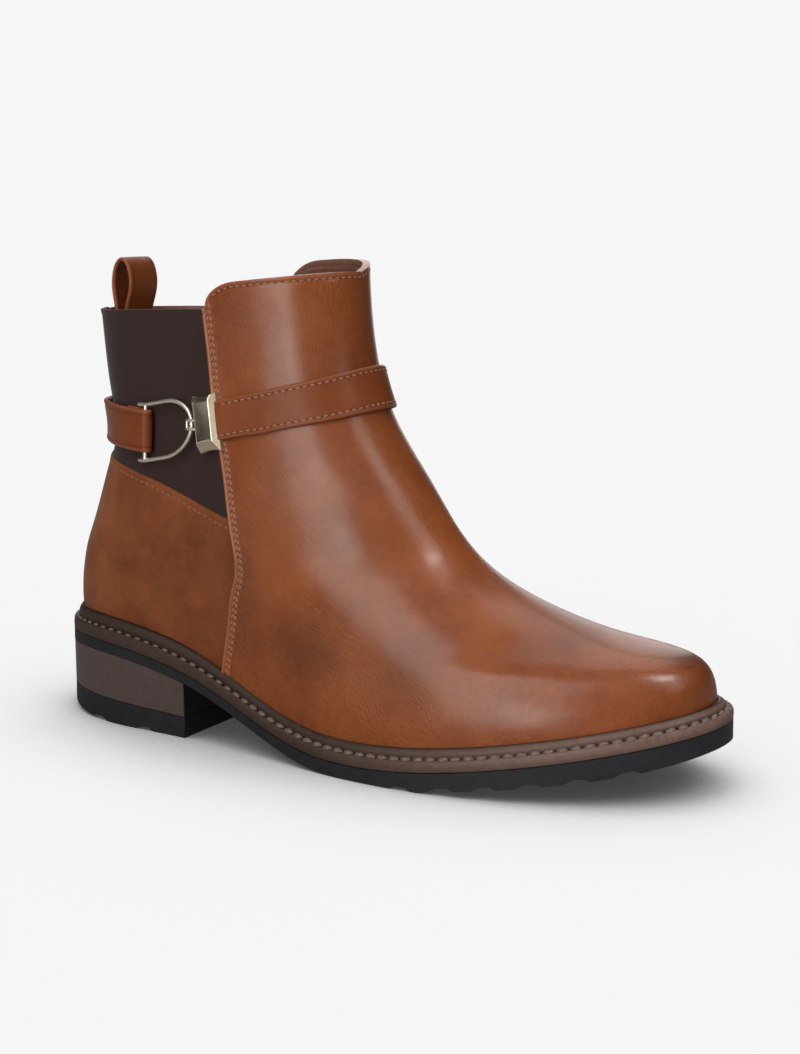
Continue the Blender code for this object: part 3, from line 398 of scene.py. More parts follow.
def side_place(x, z):
    """Turn and level of a point of the outer side given in side view."""
    level = np.full(x.shape, 0.65)
    length = at_level("front_x", level) - at_level("back_x", level)
    turn = station_turn(np.clip((x - at_level("back_x", level)) / length, 0.03, 0.97))
    for _ in range(12):
        here = last_point(turn, level)
        by_turn = (last_point(turn + STEP, level) - here) / STEP
        by_level = (last_point(turn, level + STEP) - here) / STEP
        miss_x = x - here[..., 0]
        miss_z = z - here[..., 2]
        size = by_turn[..., 0] * by_level[..., 2] - by_level[..., 0] * by_turn[..., 2]
        turn = turn + (miss_x * by_level[..., 2] - by_level[..., 0] * miss_z) / size
        level = level + (by_turn[..., 0] * miss_z - miss_x * by_turn[..., 2]) / size
    return turn, level


def side_skin(x, z, height):
    x, z, height = same_shape(x, z, height)
    return skin(*side_place(x, z), height)


def turn_per_mm(turn, level):
    """How far the turn moves for a millimetre along the loop."""
    along = last_point(turn + STEP, level) - last_point(turn - STEP, level)
    return 2 * STEP / np.linalg.norm(along, axis=-1)


def seam_turn(level, side):
    return station_turn(natural_cubic(SEAM["level"], SEAM[side], level))


def zip_turns(level):
    """Front and rear edge of the zip's slot on the inner side, counted from the back."""
    front = seam_turn(level, "medial")
    share = limit((level - ZIP_TAPER[0]) / ZIP_TAPER[1])
    width = between(ZIP_FOOT_WIDTH, ZIP_WIDTH, share * (2 - share))
    return front, front - width * turn_per_mm(TURN - front, level)


def rear_collar(turn):
    """Level of the collar behind the front panel; turns past a full one are the outer side."""
    turn = np.asarray(turn, float)
    outer = np.maximum(turn - TURN, 0) / seam_turn(COLLAR_SEAM, "lateral")
    inner = np.maximum(TURN - turn, 0) / seam_turn(COLLAR_MEDIAL, "medial")
    level = between(COLLAR_BACK, COLLAR_SEAM, outer)
    return level + (COLLAR_MEDIAL - COLLAR_BACK) * limit(inner)


def front_collar(turn):
    """Level of the front panel's top with its two rounded corners."""
    turn = np.asarray(turn, float)
    outer = turn <= math.pi
    fold = np.where(outer, turn, TURN - turn)
    low = np.where(outer, COLLAR_SEAM, COLLAR_MEDIAL)
    edge = np.where(
        outer, seam_turn(COLLAR_SEAM, "lateral"), seam_turn(COLLAR_MEDIAL, "medial")
    )
    start = np.where(outer, CORNER_OUT, CORNER_IN)
    size = np.where(outer, ROUND_OUT, ROUND_IN)
    away = limit(((fold - edge) / turn_per_mm(fold, low) - start) / size)
    rise = np.sqrt(1 - (1 - away) ** 2)
    corner = np.where(outer, COLLAR_OUT, COLLAR_IN)
    share = np.maximum(fold - edge, 0) / (math.pi - edge)
    high = between(corner, COLLAR_FRONT, share**COLLAR_EASE)
    return between(low, high, rise)


def sole_edge(turn, grow):
    """Plan outline of the upper's foot, grown outwards."""
    foot = last_point(turn, 0 * turn)
    along = last_point(turn + STEP, 0 * turn) - last_point(turn - STEP, 0 * turn)
    out = unit(np.stack([along[:, 1], -along[:, 0]], axis=1))
    return foot[:, :2] + np.asarray(grow)[:, None] * out


def welt_width(turn):
    return between(WELT_AT_HEEL, WELT_AT_TOE, smooth_step((station_of(turn) - 0.15) / 0.5))


EDGE_TURNS = np.linspace(0, TURN, 721)
EDGE = sole_edge(EDGE_TURNS, welt_width(EDGE_TURNS))
ORIGIN = np.append((EDGE.min(axis=0) + EDGE.max(axis=0)) / 2, 0.0)


def placed(points):
    """Table millimetres as scene metres, with the sole centred on the origin."""
    return (np.asarray(points, float) - ORIGIN) * MM


# Mesh helpers
def add(name, data):
    """A new object in the scene."""
    thing = bpy.data.objects.new(name, data)
    bpy.context.scene.collection.objects.link(thing)
    return thing


def ring_quads(rings, sides, closed=False, start=0):
    """Faces between rings of points that follow each other."""
    quads = []
    for i in range(rings if closed else rings - 1):
        a = start + i * sides
        b = start + (i + 1) % rings * sides
        quads += [(a + k, a + (k + 1) % sides, b + (k + 1) % sides, b + k) for k in range(sides)]
    return quads


def make_object(name, verts, faces, materials, indices=None, facts=None, merge=0.00001):
    """A smooth mesh object from points in metres, with named values on its points."""
    mesh = bpy.data.meshes.new(name)
    mesh.from_pydata([tuple(p) for p in verts], [], faces)
    for key, values in (facts or {}).items():
        kind = "FLOAT_VECTOR" if values.ndim == 2 else "FLOAT"
        layer = mesh.attributes.new(key, kind, "POINT")
        layer.data.foreach_set("vector" if values.ndim == 2 else "value", values.ravel())
    for item in materials:
        mesh.materials.append(item)
    if indices is not None:
        mesh.polygons.foreach_set("material_index", indices)
    bm = bmesh.new()
    bm.from_mesh(mesh)
    loose = [v for v in bm.verts if not v.link_faces]
    bmesh.ops.delete(bm, geom=loose, context="VERTS")
    if merge:
        bmesh.ops.remove_doubles(bm, verts=bm.verts[:], dist=merge)
    bmesh.ops.recalc_face_normals(bm, faces=bm.faces[:])
    bm.to_mesh(mesh)
    bm.free()
    mesh.polygons.foreach_set("use_smooth", np.ones(len(mesh.polygons), bool))
    return add(name, mesh)


def dress(thing, slot, *nodes, body="boot", bevel=0.0):
    """Puts a piece on its body and hides the solids it stands for; the slot argument is not used."""
    if bevel:
        modifier = thing.modifiers.new("rounded_edges", "BEVEL")
        modifier.width = bevel * MM
        modifier.segments = 2
        modifier.limit_method = "ANGLE"
        modifier.angle_limit = math.radians(38)
        modifier.harden_normals = True
    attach(thing, body)
    if nodes:
        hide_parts(*nodes)
    return thing


def shell(name, outer, inner, materials, keep=None, facts=None):
    """A closed body between two grids; inner faces take the last material."""
    across, along = outer.shape[:2]
    if keep is None:
        keep = np.ones((across - 1, along - 1), bool)
    kept = np.pad(keep, 1)
    half = across * along
    inside = len(materials) - 1
    faces = []
    indices = []

    def quad(material, *corners):
        faces.append([side * half + i * along + j for side, i, j in corners])
        indices.append(material)

    for i, j in np.argwhere(keep).tolist():
        quad(0, (0, i, j), (0, i + 1, j), (0, i + 1, j + 1), (0, i, j + 1))
        quad(inside, (1, i, j), (1, i, j + 1), (1, i + 1, j + 1), (1, i + 1, j))
        if not kept[i, j + 1]:
            quad(0, (0, i, j), (0, i, j + 1), (1, i, j + 1), (1, i, j))
        if not kept[i + 2, j + 1]:
            quad(0, (0, i + 1, j), (1, i + 1, j), (1, i + 1, j + 1), (0, i + 1, j + 1))
        if not kept[i + 1, j]:
            quad(0, (0, i, j), (1, i, j), (1, i + 1, j), (0, i + 1, j))
        if not kept[i + 1, j + 2]:
            quad(0, (0, i, j + 1), (0, i + 1, j + 1), (1, i + 1, j + 1), (1, i, j + 1))
    verts = placed(np.concatenate([outer.reshape(-1, 3), inner.reshape(-1, 3)]))
    both = {
        key: np.concatenate([values.reshape(half, -1)] * 2).squeeze()
        for key, values in (facts or {}).items()
    }
    return make_object(name, verts, faces, materials, indices, both)


def refine(grid, count):
    """More rows along a strip, on smooth curves through its rows."""
    step = np.linalg.norm(np.diff(grid, axis=0), axis=-1).mean(axis=1)
    knots = np.append(0, np.cumsum(step))
    flat = natural_cubic(knots, grid.reshape(len(grid), -1), np.linspace(0, knots[-1], count))
    return flat.reshape((count,) + grid.shape[1:])


def grid_normals(grid):
    return unit(np.cross(np.gradient(grid, axis=0), np.gradient(grid, axis=1)))


STRIP_COLUMNS = ("share", "half")
STRIP_PROFILE = (
    (0.0, 0.30), (0.012, 0.64), (0.03, 0.90), (0.06, 1.03), (0.09, 0.98), (0.12, 0.86),
    (0.15, 0.97), (0.2, 1.02), (0.35, 1.05), (0.5, 1.06), (0.65, 1.05), (0.8, 1.02),
    (0.85, 0.97), (0.88, 0.86), (0.91, 0.98), (0.94, 1.03), (0.97, 0.90), (0.988, 0.64), (1.0, 0.30),
)
STRIP = columns(STRIP_COLUMNS, STRIP_PROFILE)


def flow_of(grid):
    """Metres along the rows and along the columns of a grid, for the grain."""
    over = np.linalg.norm(np.diff(grid, axis=0, prepend=grid[:1]), axis=-1).cumsum(axis=0)
    rise = np.linalg.norm(np.diff(grid, axis=1, prepend=grid[:, :1]), axis=-1).cumsum(axis=1)
    over = over - over[len(over) // 2]
    return np.stack([over, rise, 0 * over], axis=-1) * MM


def strip(name, grid, thick, materials, raised=None, wear_and_painted_highlight=0.0, painted_shade_and_burnish=0.0):
    """A strap with rounded edges about a grid of middle points, raised along its rows."""
    shift = grid_normals(grid) * (STRIP["half"] * thick / 2)[None, :, None]
    over = shift if raised is None else shift * (1 + 2 * raised / thick)[:, None, None]
    edge = np.minimum(STRIP["share"], 1 - STRIP["share"])
    rows = np.zeros((len(grid), 1))
    # a darker line along each stitch row and a lighter line along each edge, added to the painted shade
    # and painted highlight the caller passes
    facts = {
        "flow": flow_of(grid),
        "wear_and_painted_highlight": rows + np.reshape(wear_and_painted_highlight, (-1, 1)) + 0.4 * bump_at(edge - 0.02, 0.04),
        "painted_shade_and_burnish": rows + np.reshape(painted_shade_and_burnish, (-1, 1)) + 0.45 * bump_at(edge - 0.12, 0.02),
    }
    return shell(name, grid + over, grid - shift, materials, facts=facts)


class Lumps:
    """Many small rounded lumps gathered into one mesh."""

    RINGS = ((-1.0, 0.0), (-0.82, 0.62), (-0.3, 1.0), (0.3, 1.0), (0.82, 0.62), (1.0, 0.0))
    SIDES = 7

    def __init__(self):
        self.verts = []
        self.faces = []

    def add(self, centre, along, over, length, wide, high):
        """One lump in millimetres: its axis, the direction it stands up in, and its sizes."""
        beside = np.cross(along, over)
        start = len(self.verts)
        for place, size in self.RINGS:
            for k in range(self.SIDES if size else 1):
                angle = TURN * k / self.SIDES
                shift = beside * math.cos(angle) * wide / 2 + over * math.sin(angle) * high / 2
                self.verts.append(centre + along * place * length / 2 + shift * size)
        sides = self.SIDES
        first = start + 1
        last = first + sides * (len(self.RINGS) - 3)
        for k in range(sides):
            j = (k + 1) % sides
            self.faces.append((start, first + j, first + k))
            self.faces.append((last + k, last + j, last + sides))
        self.faces += ring_quads(len(self.RINGS) - 2, sides, start=first)

    def row(self, path, normals, pitch, length, wide, high, slant=0.0, offset=0.0, size=None):
        """Lumps at even steps along a path; slant turns each, size scales them along the path."""
        knots = run_of(path)
        count = max(int(knots[-1] / pitch), 1)
        places = (np.arange(count) + 0.5 + offset) * knots[-1] / count
        places = places[places < knots[-1]]

        def read(values, where):
            return np.stack([np.interp(where, knots, values[:, k]) for k in range(3)], axis=1)

        here = read(path, places)
        ahead = unit(read(path, places + 0.3) - read(path, places - 0.3))
        over = unit(read(normals, places))
        scale = np.ones(len(here)) if size is None else np.interp(places, knots, size)
        for centre, along, up, part in zip(here, ahead, over, scale):
            beside = np.cross(up, along)
            turned = along * math.cos(slant) + beside * math.sin(slant)
            upright = np.cross(turned, np.cross(up, turned))
            self.add(centre, turned, upright, length * part, wide * part, high * part)

    def finish(self, name, material):
        verts = placed(np.array(self.verts))
        return make_object(name, verts, self.faces, [material], merge=0)


# Material helpers
def new_material(name, **inputs):
    material = bpy.data.materials.new(name)
    material.use_nodes = True
    tree = material.node_tree
    shader = tree.nodes["Principled BSDF"]
    for key, value in inputs.items():
        shader.inputs[key.replace("_", " ")].default_value = value
    return material, tree, shader


def node(tree, kind, settings=None, **inputs):
    made = tree.nodes.new("ShaderNode" + kind)
    for key, value in (settings or {}).items():
        setattr(made, key, value)
    for key, value in inputs.items():
        socket = made.inputs[key.replace("_", " ")]
        if isinstance(value, bpy.types.NodeSocket):
            tree.links.new(value, socket)
        else:
            socket.default_value = value
    return made


def noise(tree, vector, scale, detail=3.0, rough=0.55):
    made = node(tree, "TexNoise", Vector=vector, Scale=scale, Detail=detail, Roughness=rough)
    return made.outputs["Fac"]


def ramp(tree, factor, *stops):
    """A colour ramp; each stop is a place and a colour or a grey value."""
    made = node(tree, "ValToRGB", Fac=factor)
    elements = made.color_ramp.elements
    while len(elements) < len(stops):
        elements.new(0.5)
    for element, (place, colour) in zip(elements, stops):
        element.position = place
        grey = isinstance(colour, (int, float))
        element.color = (colour, colour, colour, 1) if grey else (*colour, 1)
    return made.outputs["Color"]


def span(tree, value, low, high, to_low=0.0, to_high=1.0):
    made = node(tree, "MapRange", Value=value)
    for key, number in zip(("From Min", "From Max", "To Min", "To Max"), (low, high, to_low, to_high)):
        made.inputs[key].default_value = number
    return made.outputs["Result"]


def mix_shaders(tree, factor, a, b):
    made = node(tree, "MixShader", Fac=factor)
    tree.links.new(a.outputs[0], made.inputs[1])
    tree.links.new(b.outputs[0], made.inputs[2])
    return made


def combine(tree, operation, a, b, kind="Math"):
    made = node(tree, kind, {"operation": operation})
    for socket, value in zip(made.inputs, (a, b)):
        if isinstance(value, bpy.types.NodeSocket):
            tree.links.new(value, socket)
        else:
            socket.default_value = value
    return made.outputs[0]


def plus(tree, a, b, share):
    return combine(tree, "ADD", a, combine(tree, "MULTIPLY", b, share))


def surface(tree, shader, colour, rough, *layers):
    """Links colour, roughness and bump layers of a height, a strength and a depth in mm."""
    tree.links.new(colour, shader.inputs["Base Color"])
    tree.links.new(rough, shader.inputs["Roughness"])
    normal = None
    for height, strength, depth in layers:
        made = node(tree, "Bump", Height=height, Strength=strength, Distance=depth * MM)
        if normal is not None:
            tree.links.new(normal, made.inputs["Normal"])
        normal = made.outputs["Normal"]
    tree.links.new(normal, shader.inputs["Normal"])


def attribute(tree, name, output="Fac"):
    return node(tree, "Attribute", {"attribute_name": name}).outputs[output]


def place_of(tree):
    return node(tree, "TexCoord").outputs["Object"]


def toned(material, name, colour):
    """The material, with another colour where its mesh has the named value."""
    tree = material.node_tree
    socket = tree.nodes["Principled BSDF"].inputs["Base Color"]
    under = socket.links[0].from_socket
    made = node(tree, "MixRGB", Fac=attribute(tree, name), Color1=under, Color2=(*colour, 1))
    tree.links.new(made.outputs["Color"], socket)
    return material


def toned_rough(material, name, amount):
    """The material, rougher where its mesh has the named value."""
    tree = material.node_tree
    socket = tree.nodes["Principled BSDF"].inputs["Roughness"]
    under = socket.links[0].from_socket
    tree.links.new(plus(tree, under, attribute(tree, name), amount), socket)


def smooth_leather(name, deep, mid, pale, grain=1.0, coat=0.55):
    """Waxed leather: mottled, darker where its mesh marks burnish and painted shade, lighter where it
    marks wear and painted highlight, with pores and fine wrinkles.
    """
    material, tree, shader = new_material(
        name, Coat_Weight=coat, Coat_Roughness=0.24, Coat_IOR=1.5, Specular_IOR_Level=0.2
    )
    place = place_of(tree)
    broad = noise(tree, place, 30.0, 5.0, 0.6)
    fine = noise(tree, place, 420.0, 4.0, 0.6)
    tone = span(tree, plus(tree, broad, fine, 0.3), 0.45, 0.85)
    flow = attribute(tree, "flow", "Vector")
    flow = node(tree, "Mapping", Vector=flow, Scale=(820.0, 330.0, 1.0)).outputs["Vector"]
    drift = node(tree, "TexNoise", Vector=flow, Scale=0.45, Detail=2.0).outputs["Color"]
    bent = combine(tree, "ADD", flow, drift, "VectorMath")
    cells = node(tree, "TexVoronoi", {"feature": "DISTANCE_TO_EDGE"}, Vector=bent, Scale=1.0)
    crinkle = span(tree, cells.outputs["Distance"], 0.0, 0.3)
    where = span(tree, noise(tree, place, 40.0, 3.0), 0.42, 0.7)
    where = combine(tree, "MAXIMUM", where, attribute(tree, "wrinkle"))
    pores = node(tree, "TexVoronoi", {"feature": "F1"}, Vector=place, Scale=1500.0).outputs["Distance"]
    surface(
        tree, shader,
        ramp(tree, tone, (0.0, deep), (0.5, mid), (1.0, pale)),
        span(tree, fine, 0.3, 0.7, 0.44, 0.56),
        (noise(tree, place, 60.0, 2.0), 0.3, 1.0),
        (noise(tree, bent, 0.8, 4.0, 0.65), 0.5 * grain, 0.3),
        (combine(tree, "MULTIPLY", crinkle, where), 0.8 * grain, 0.27),
        (pores, 0.10 * grain, 0.12),
    )
    # lighter, pinker colour where the mesh marks wear and painted highlight
    toned(material, "wear_and_painted_highlight", tuple(c * 1.3 + 0.045 for c in pale))
    # darker colour where the mesh marks burnish and painted shade
    return toned(material, "painted_shade_and_burnish", tuple(c * 0.3 for c in deep))


def nubuck(name, deep, mid, pale):
    """Matt brushed leather with cloudy patches and a fine nap."""
    material, tree, shader = new_material(
        name, Specular_IOR_Level=0.22, Sheen_Weight=0.08, Sheen_Roughness=0.5
    )
    place = place_of(tree)
    clouds = noise(tree, place, 42.0, 5.0, 0.62)
    nap = noise(tree, place, 900.0, 4.0, 0.65)
    tone = span(tree, plus(tree, clouds, nap, 0.4), 0.45, 0.95)
    colour = ramp(tree, tone, (0.0, deep), (0.5, mid), (1.0, pale))
    rough = span(tree, nap, 0.3, 0.7, 0.58, 0.74)
    surface(tree, shader, colour, rough, (clouds, 0.2, 0.5), (nap, 0.35, 0.14))
    # darker where the quarters' mesh marks painted shade
    return toned(material, "painted_shade_and_burnish", tuple(c * 0.4 for c in deep))


def woven(name, dark, light, ribs, strength=0.5):
    """Cloth with ribs along the second way of its flow."""
    material, tree, shader = new_material(name, Specular_IOR_Level=0.2, Sheen_Weight=0.15)
    flow = attribute(tree, "flow", "Vector")
    lines, cross = (
        node(tree, "TexWave", {"bands_direction": way}, Vector=flow, Scale=size, Distortion=0.3)
        for way, size in (("X", ribs), ("Y", ribs * 1.3))
    )
    weave = plus(tree, lines.outputs["Fac"], cross.outputs["Fac"], 0.5)
    cloud = noise(tree, place_of(tree), 120.0)
    tone = span(tree, plus(tree, cloud, weave, 0.4), 0.5, 1.1)
    colour = ramp(tree, tone, (0.0, dark), (1.0, light))
    rough = span(tree, cloud, 0.3, 0.7, 0.72, 0.86)
    surface(tree, shader, colour, rough, (weave, strength, 0.12))
    return material


def plain(name, dark, light, rough, scale=260.0, depth=0.1, metal=0.0, strength=0.3, **inputs):
    """A material of one kind with a slight grain in colour, gloss and relief."""
    material, tree, shader = new_material(name, Metallic=metal, **inputs)
    grain = noise(tree, place_of(tree), scale, 4.0)
    colour = ramp(tree, grain, (0.3, dark), (0.7, light))
    surface(tree, shader, colour, span(tree, grain, 0.3, 0.7, *rough), (grain, strength, depth))
    return material


LEATHER = smooth_leather("tan_leather", (0.155, 0.033, 0.005), (0.222, 0.051, 0.008), (0.272, 0.07, 0.013))
STRAP_LEATHER = smooth_leather(
    "strap_leather", (0.145, 0.032, 0.006), (0.19, 0.044, 0.009), (0.225, 0.056, 0.013), 0.5, 0.1
)
NUBUCK = nubuck("brushed_leather", (0.118, 0.029, 0.0075), (0.2, 0.053, 0.0135), (0.275, 0.08, 0.023))
LINING = plain("lining_leather", (0.15, 0.06, 0.036), (0.22, 0.095, 0.06), (0.5, 0.7), 700.0, 0.1)
GORE = woven("elastic_cloth", (0.025, 0.0115, 0.0095), (0.035, 0.017, 0.014), 420.0, 0.25)
TAPE = woven("zip_tape_cloth", (0.055, 0.02, 0.009), (0.1, 0.038, 0.018), 420.0, 0.6)
COIL = plain("zip_coil", (0.11, 0.04, 0.018), (0.17, 0.065, 0.03), (0.35, 0.5), 500.0)
THREAD = plain("thread", (0.29, 0.115, 0.055), (0.4, 0.175, 0.095), (0.5, 0.7), 1500.0, 0.05)
DARK_THREAD = plain("dark_thread", (0.2, 0.07, 0.028), (0.28, 0.1, 0.045), (0.5, 0.7), 1500.0, 0.05)
# dark lumps that stand for needle holes: painted shade in the holes
HOLE_SHADE = plain("needle_hole_shade", (0.07, 0.02, 0.007), (0.1, 0.03, 0.012), (0.8, 0.95), 900.0)
WELT = plain(
    "welt_leather", (0.125, 0.07, 0.052), (0.17, 0.102, 0.078), (0.45, 0.6), 420.0, 0.12,
    Specular_IOR_Level=0.28,
)
# near black where the welt's mesh marks painted shade
toned(WELT, "painted_shade_and_burnish", (0.016, 0.009, 0.007))
WELT_THREAD = plain("welt_stitch", (0.1, 0.062, 0.046), (0.15, 0.097, 0.075), (0.45, 0.65), 900.0, 0.08)
HEEL = plain("heel_block_finish", (0.066, 0.042, 0.036), (0.082, 0.054, 0.047), (0.38, 0.46), 300.0, 0.04)
# near black on the heel's breast face, where its mesh marks it
toned(HEEL, "painted_shade_and_burnish", (0.012, 0.011, 0.012))
RUBBER = plain(
    "black_rubber", (0.009, 0.009, 0.0105), (0.015, 0.015, 0.0175), (0.5, 0.64), 420.0, 0.1,
    Specular_IOR_Level=0.35,
)
INSOLE = woven("insole_cloth", (0.2, 0.11, 0.06), (0.3, 0.18, 0.1), 300.0, 0.4)
GOLD = plain("pale_gold", (0.78, 0.66, 0.46), (0.86, 0.75, 0.56), (0.12, 0.2), 200.0, 0.03, 1.0, 0.15)
toned_rough(GOLD, "satin", 0.3)
RING_GOLD = plain("ring_gold", (0.9, 0.82, 0.68), (0.95, 0.88, 0.76), (0.36, 0.44), 200.0, 0.03, 1.0, 0.15)
LACQUER = plain("brown_lacquer", (0.11, 0.042, 0.02), (0.17, 0.068, 0.034), (0.25, 0.4), 400.0, 0.05)


# Pieces of the upper
def crease_height(points):
    """Depth of the creases at each point, from the distance to their lines."""
    total = np.zeros(points.shape[:-1])
    table = columns(CREASE_COLUMNS, CREASES)
    share = np.linspace(0, 1, 25)
    for k in range(len(CREASES)):
        row = {name: values[k] for name, values in table.items()}
        turn = between(row["turn_a"], row["turn_b"], share)
        level = between(row["level_a"], row["level_b"], share)
        line = last_point(turn, level - 0.02 * np.sin(math.pi * share))
        away = np.linalg.norm(points[..., None, :] - line, axis=-1)
        nearest = away.argmin(axis=-1)
        fade = np.sin(math.pi * np.clip(share[nearest], 0.02, 0.98)) ** 0.7
        total -= row["depth"] * fade * bump_at(away.min(axis=-1), row["width"])
    return total


def patches(points, name):
    """How strongly the listed patches of a kind show at each point."""
    total = np.zeros(points.shape[:-1])
    for kind, turn, level, radius, strength in PATCHES:
        if kind == name:
            away = np.linalg.norm(points - last_point(turn, level), axis=-1)
            total += strength * bump_at(away, radius)
    return total


BESIDE_SEAM = np.array(
    (0, 0.25, 0.5, 0.8, 1.1, 1.4, 1.7, 2.0, 2.4, 2.8, 3.1, 3.4, 3.7, 4.1, 4.6, 5.2, 6.0)
)


def front_turns(level, inside):
    """Turns of every column of the front panel, each at its own levels."""
    edge = len(BESIDE_SEAM)
    lateral = seam_turn(level, "lateral")
    out = turn_per_mm(lateral, level)
    lateral = lateral + SEAM_STEP / 2 * out
    medial = TURN - seam_turn(level, "medial")
    home = turn_per_mm(medial, level)
    medial = medial + SEAM_STEP / 2 * home
    start = lateral + BESIDE_SEAM[-1] * out
    end = medial - BESIDE_SEAM[-1] * home
    middle = between(start[edge:-edge], end[edge:-edge], inside[:, None])
    first = lateral[:edge] + BESIDE_SEAM[:, None] * out[:edge]
    last = medial[-edge:] - BESIDE_SEAM[::-1, None] * home[-edge:]
    return np.concatenate([first, middle, last])


def build_front():
    inside = np.linspace(0, 1, 181)[1:-1]
    edge = len(BESIDE_SEAM)
    count = 2 * edge + len(inside)
    tops = front_collar(front_turns(np.full((count, 1), COLLAR_SEAM), inside)[:, 0])
    rows = np.concatenate([np.linspace(0, 0.955, 105), np.linspace(0.955, 1, 24)[1:]])
    levels = tops[:, None] * rows
    turns = front_turns(levels, inside)
    away = np.full(len(tops), 99.0)
    away[:edge] = BESIDE_SEAM
    away[-edge:] = BESIDE_SEAM[::-1]
    seam = 0.3 / (1 + np.exp((away - SEAM_RAISED) / 0.35))
    seam = seam + 0.25 * bump_at(away - SEAM_ROLL, 0.5) - 0.2 * bump_at(away - 2 * SEAM_ROLL, 0.3)
    for place in SEAM_ROWS:
        seam = seam - 0.15 * bump_at(away - place, 0.42)
    base = last_point(turns, levels)
    below = (tops[:, None] - levels) * MM_PER_LEVEL["front"]
    hem = -0.2 * bump_at(below - HEM, 0.6)
    height = PANEL_PROUD + seam[:, None] + hem + crease_height(base)
    outer = base + height[..., None] * outward(turns, levels)
    bound = 0.45 * bump_at(below - 1.3, 0.7) + 0.35 * bump_at(below - 3.2, 0.8)
    inner = skin(turns, levels, -LINING_DEPTH - bound)
    # painted shade: darker along the panel's foot, beside the raised seam strip's edge and in the hem
    # groove
    foot = 0.35 * bump_at(levels, 0.035)
    rim = 0.2 * bump_at(away - SEAM_RAISED - 0.6, 0.7)[:, None] + 0.25 * bump_at(below - HEM, 0.5)
    # lighter over the raised seam strip and its rolled edge: painted highlight, with the strip's paler raw
    # edge
    paler = 0.3 / (1 + np.exp((away - SEAM_RAISED) / 0.3)) + 0.35 * bump_at(away - SEAM_ROLL, 0.5)
    facts = {
        "flow": flow_of(outer),
        # toe burnish and painted shade from the patches, with the painted shade above
        "painted_shade_and_burnish": limit(patches(outer, "painted_shade_and_burnish") + foot + rim),
        # lighter patches, the painted highlight on the seam strip and a lighter top edge
        "wear_and_painted_highlight": limit(patches(outer, "wear_and_painted_highlight") + paler[:, None] + 0.5 * bump_at(below, 0.7)),
        "wrinkle": limit(patches(outer, "wrinkle")),
    }
    front = shell("upper_front_panel", outer, inner, [LEATHER, LINING], facts=facts)
    dress(front, "upper", "upper", bevel=0.35)


REAR_ZONES = (("zip", 5), ("inner", 70), ("back", 8), ("gore", 52))


def rear_edges(level):
    """Turns where the zones begin, and where the last one ends at the outer seam."""
    front, back = zip_turns(level)
    lateral = seam_turn(level, "lateral")
    half = SEAM_STEP / 2
    return (
        TURN - front + half * turn_per_mm(TURN - front, level),
        TURN - back,
        np.full_like(level, TURN),
        np.full_like(level, TURN + station_turn(GORE_BACK)),
        TURN + lateral - half * turn_per_mm(lateral, level),
    )


def rear_columns(low, high):
    """Turns, levels and zone of every column behind the front panel."""
    turns = []
    levels = []
    names = []
    for number, (name, cells) in enumerate(REAR_ZONES):
        last = number == len(REAR_ZONES) - 1
        for k in range(cells + last):
            ends = rear_edges(np.full(1, COLLAR_SEAM))[number:number + 2]
            top = float(rear_collar(between(*ends, k / cells))[0])
            level = np.concatenate([low, between(GORE_FOOT, top, high)])
            ends = rear_edges(level)[number:number + 2]
            turns.append(between(*ends, k / cells))
            levels.append(level)
            names.append(name)
    return np.array(turns), np.array(levels), names


def build_rear():
    """Quarter, back and inner quarter, with the gore and the zip left open."""
    low = np.unique(np.append(np.linspace(0, GORE_FOOT, 52), ZIP_FOOT))
    turns, levels, names = rear_columns(low, np.linspace(0, 1, 50)[1:])
    keep = np.ones((len(names) - 1, levels.shape[1] - 1), bool)
    for i in range(len(names) - 1):
        if names[i] == "gore":
            keep[i, len(low) - 1:] = False
        if names[i] == "zip":
            keep[i, np.searchsorted(low, ZIP_FOOT):] = False
    gore = np.array([name == "gore" for name in names])[:, None]
    below = (GORE_FOOT - levels) * MM_PER_LEVEL["quarter"]
    groove = 0.25 * bump_at(below - EDGE_ROW, 0.5) - 0.25 * bump_at(below - 1.6, 1.6)
    groove = np.where(gore, groove, 0)
    back = zip_turns(levels)[1]
    beside = (TURN - back - turns) / turn_per_mm(turns, levels)
    fold = 0.25 * bump_at(beside + EDGE_ROW, 0.5) - 0.2 * bump_at(beside + 1.6, 1.6)
    fold = np.where(levels > ZIP_FOOT, fold, 0)
    outer = skin(turns, levels, -PANEL_PROUD - groove - fold)
    inner = skin(turns, levels, -LINING_DEPTH)
    # painted shade: darker along the quarters' foot and beside the front panel's edge; the inner side is
    # darker throughout
    foot = 0.45 * bump_at(levels, 0.04)
    side = (turns - TURN - seam_turn(levels, "lateral")) / turn_per_mm(turns, levels)
    side = 0.3 * bump_at(side, 5.0)
    facts = {
        "flow": flow_of(outer),
        "painted_shade_and_burnish": limit(foot + side + np.where(turns < TURN, 0.28, 0.0)),
    }
    rear = shell("upper_quarters", outer, inner, [NUBUCK, LINING], keep, facts=facts)
    dress(rear, "upper", "upper", bevel=0.3)


def build_gore():
    grids = []
    for share in np.linspace(0, 1, 61):
        top = float(rear_collar(TURN + share * seam_turn(COLLAR_SEAM, "lateral")))
        level = np.linspace(GORE_FOOT - 0.004, top - 0.001, 72)
        back = station_turn(GORE_BACK)
        start = back - TUCK * turn_per_mm(back, level)
        seam = seam_turn(level, "lateral")
        end = seam + (SEAM_STEP / 2 + TUCK) * turn_per_mm(seam, level)
        grids.append(np.stack([between(start, end, share), level], axis=-1))
    grid = np.array(grids)
    below = (grid[:, -1:, 1] - grid[..., 1]) * MM_PER_LEVEL["gore"]
    band = 0.32 / (1 + np.exp((below - GORE_BINDING) / 0.12))
    outer = skin(grid[..., 0], grid[..., 1], GORE_OUTER + band)
    inner = skin(grid[..., 0], grid[..., 1], GORE_INNER)
    gore = shell("gore_panel", outer, inner, [GORE], facts={"flow": flow_of(outer)})
    dress(gore, "gore", "elastic_gore", bevel=0.25)


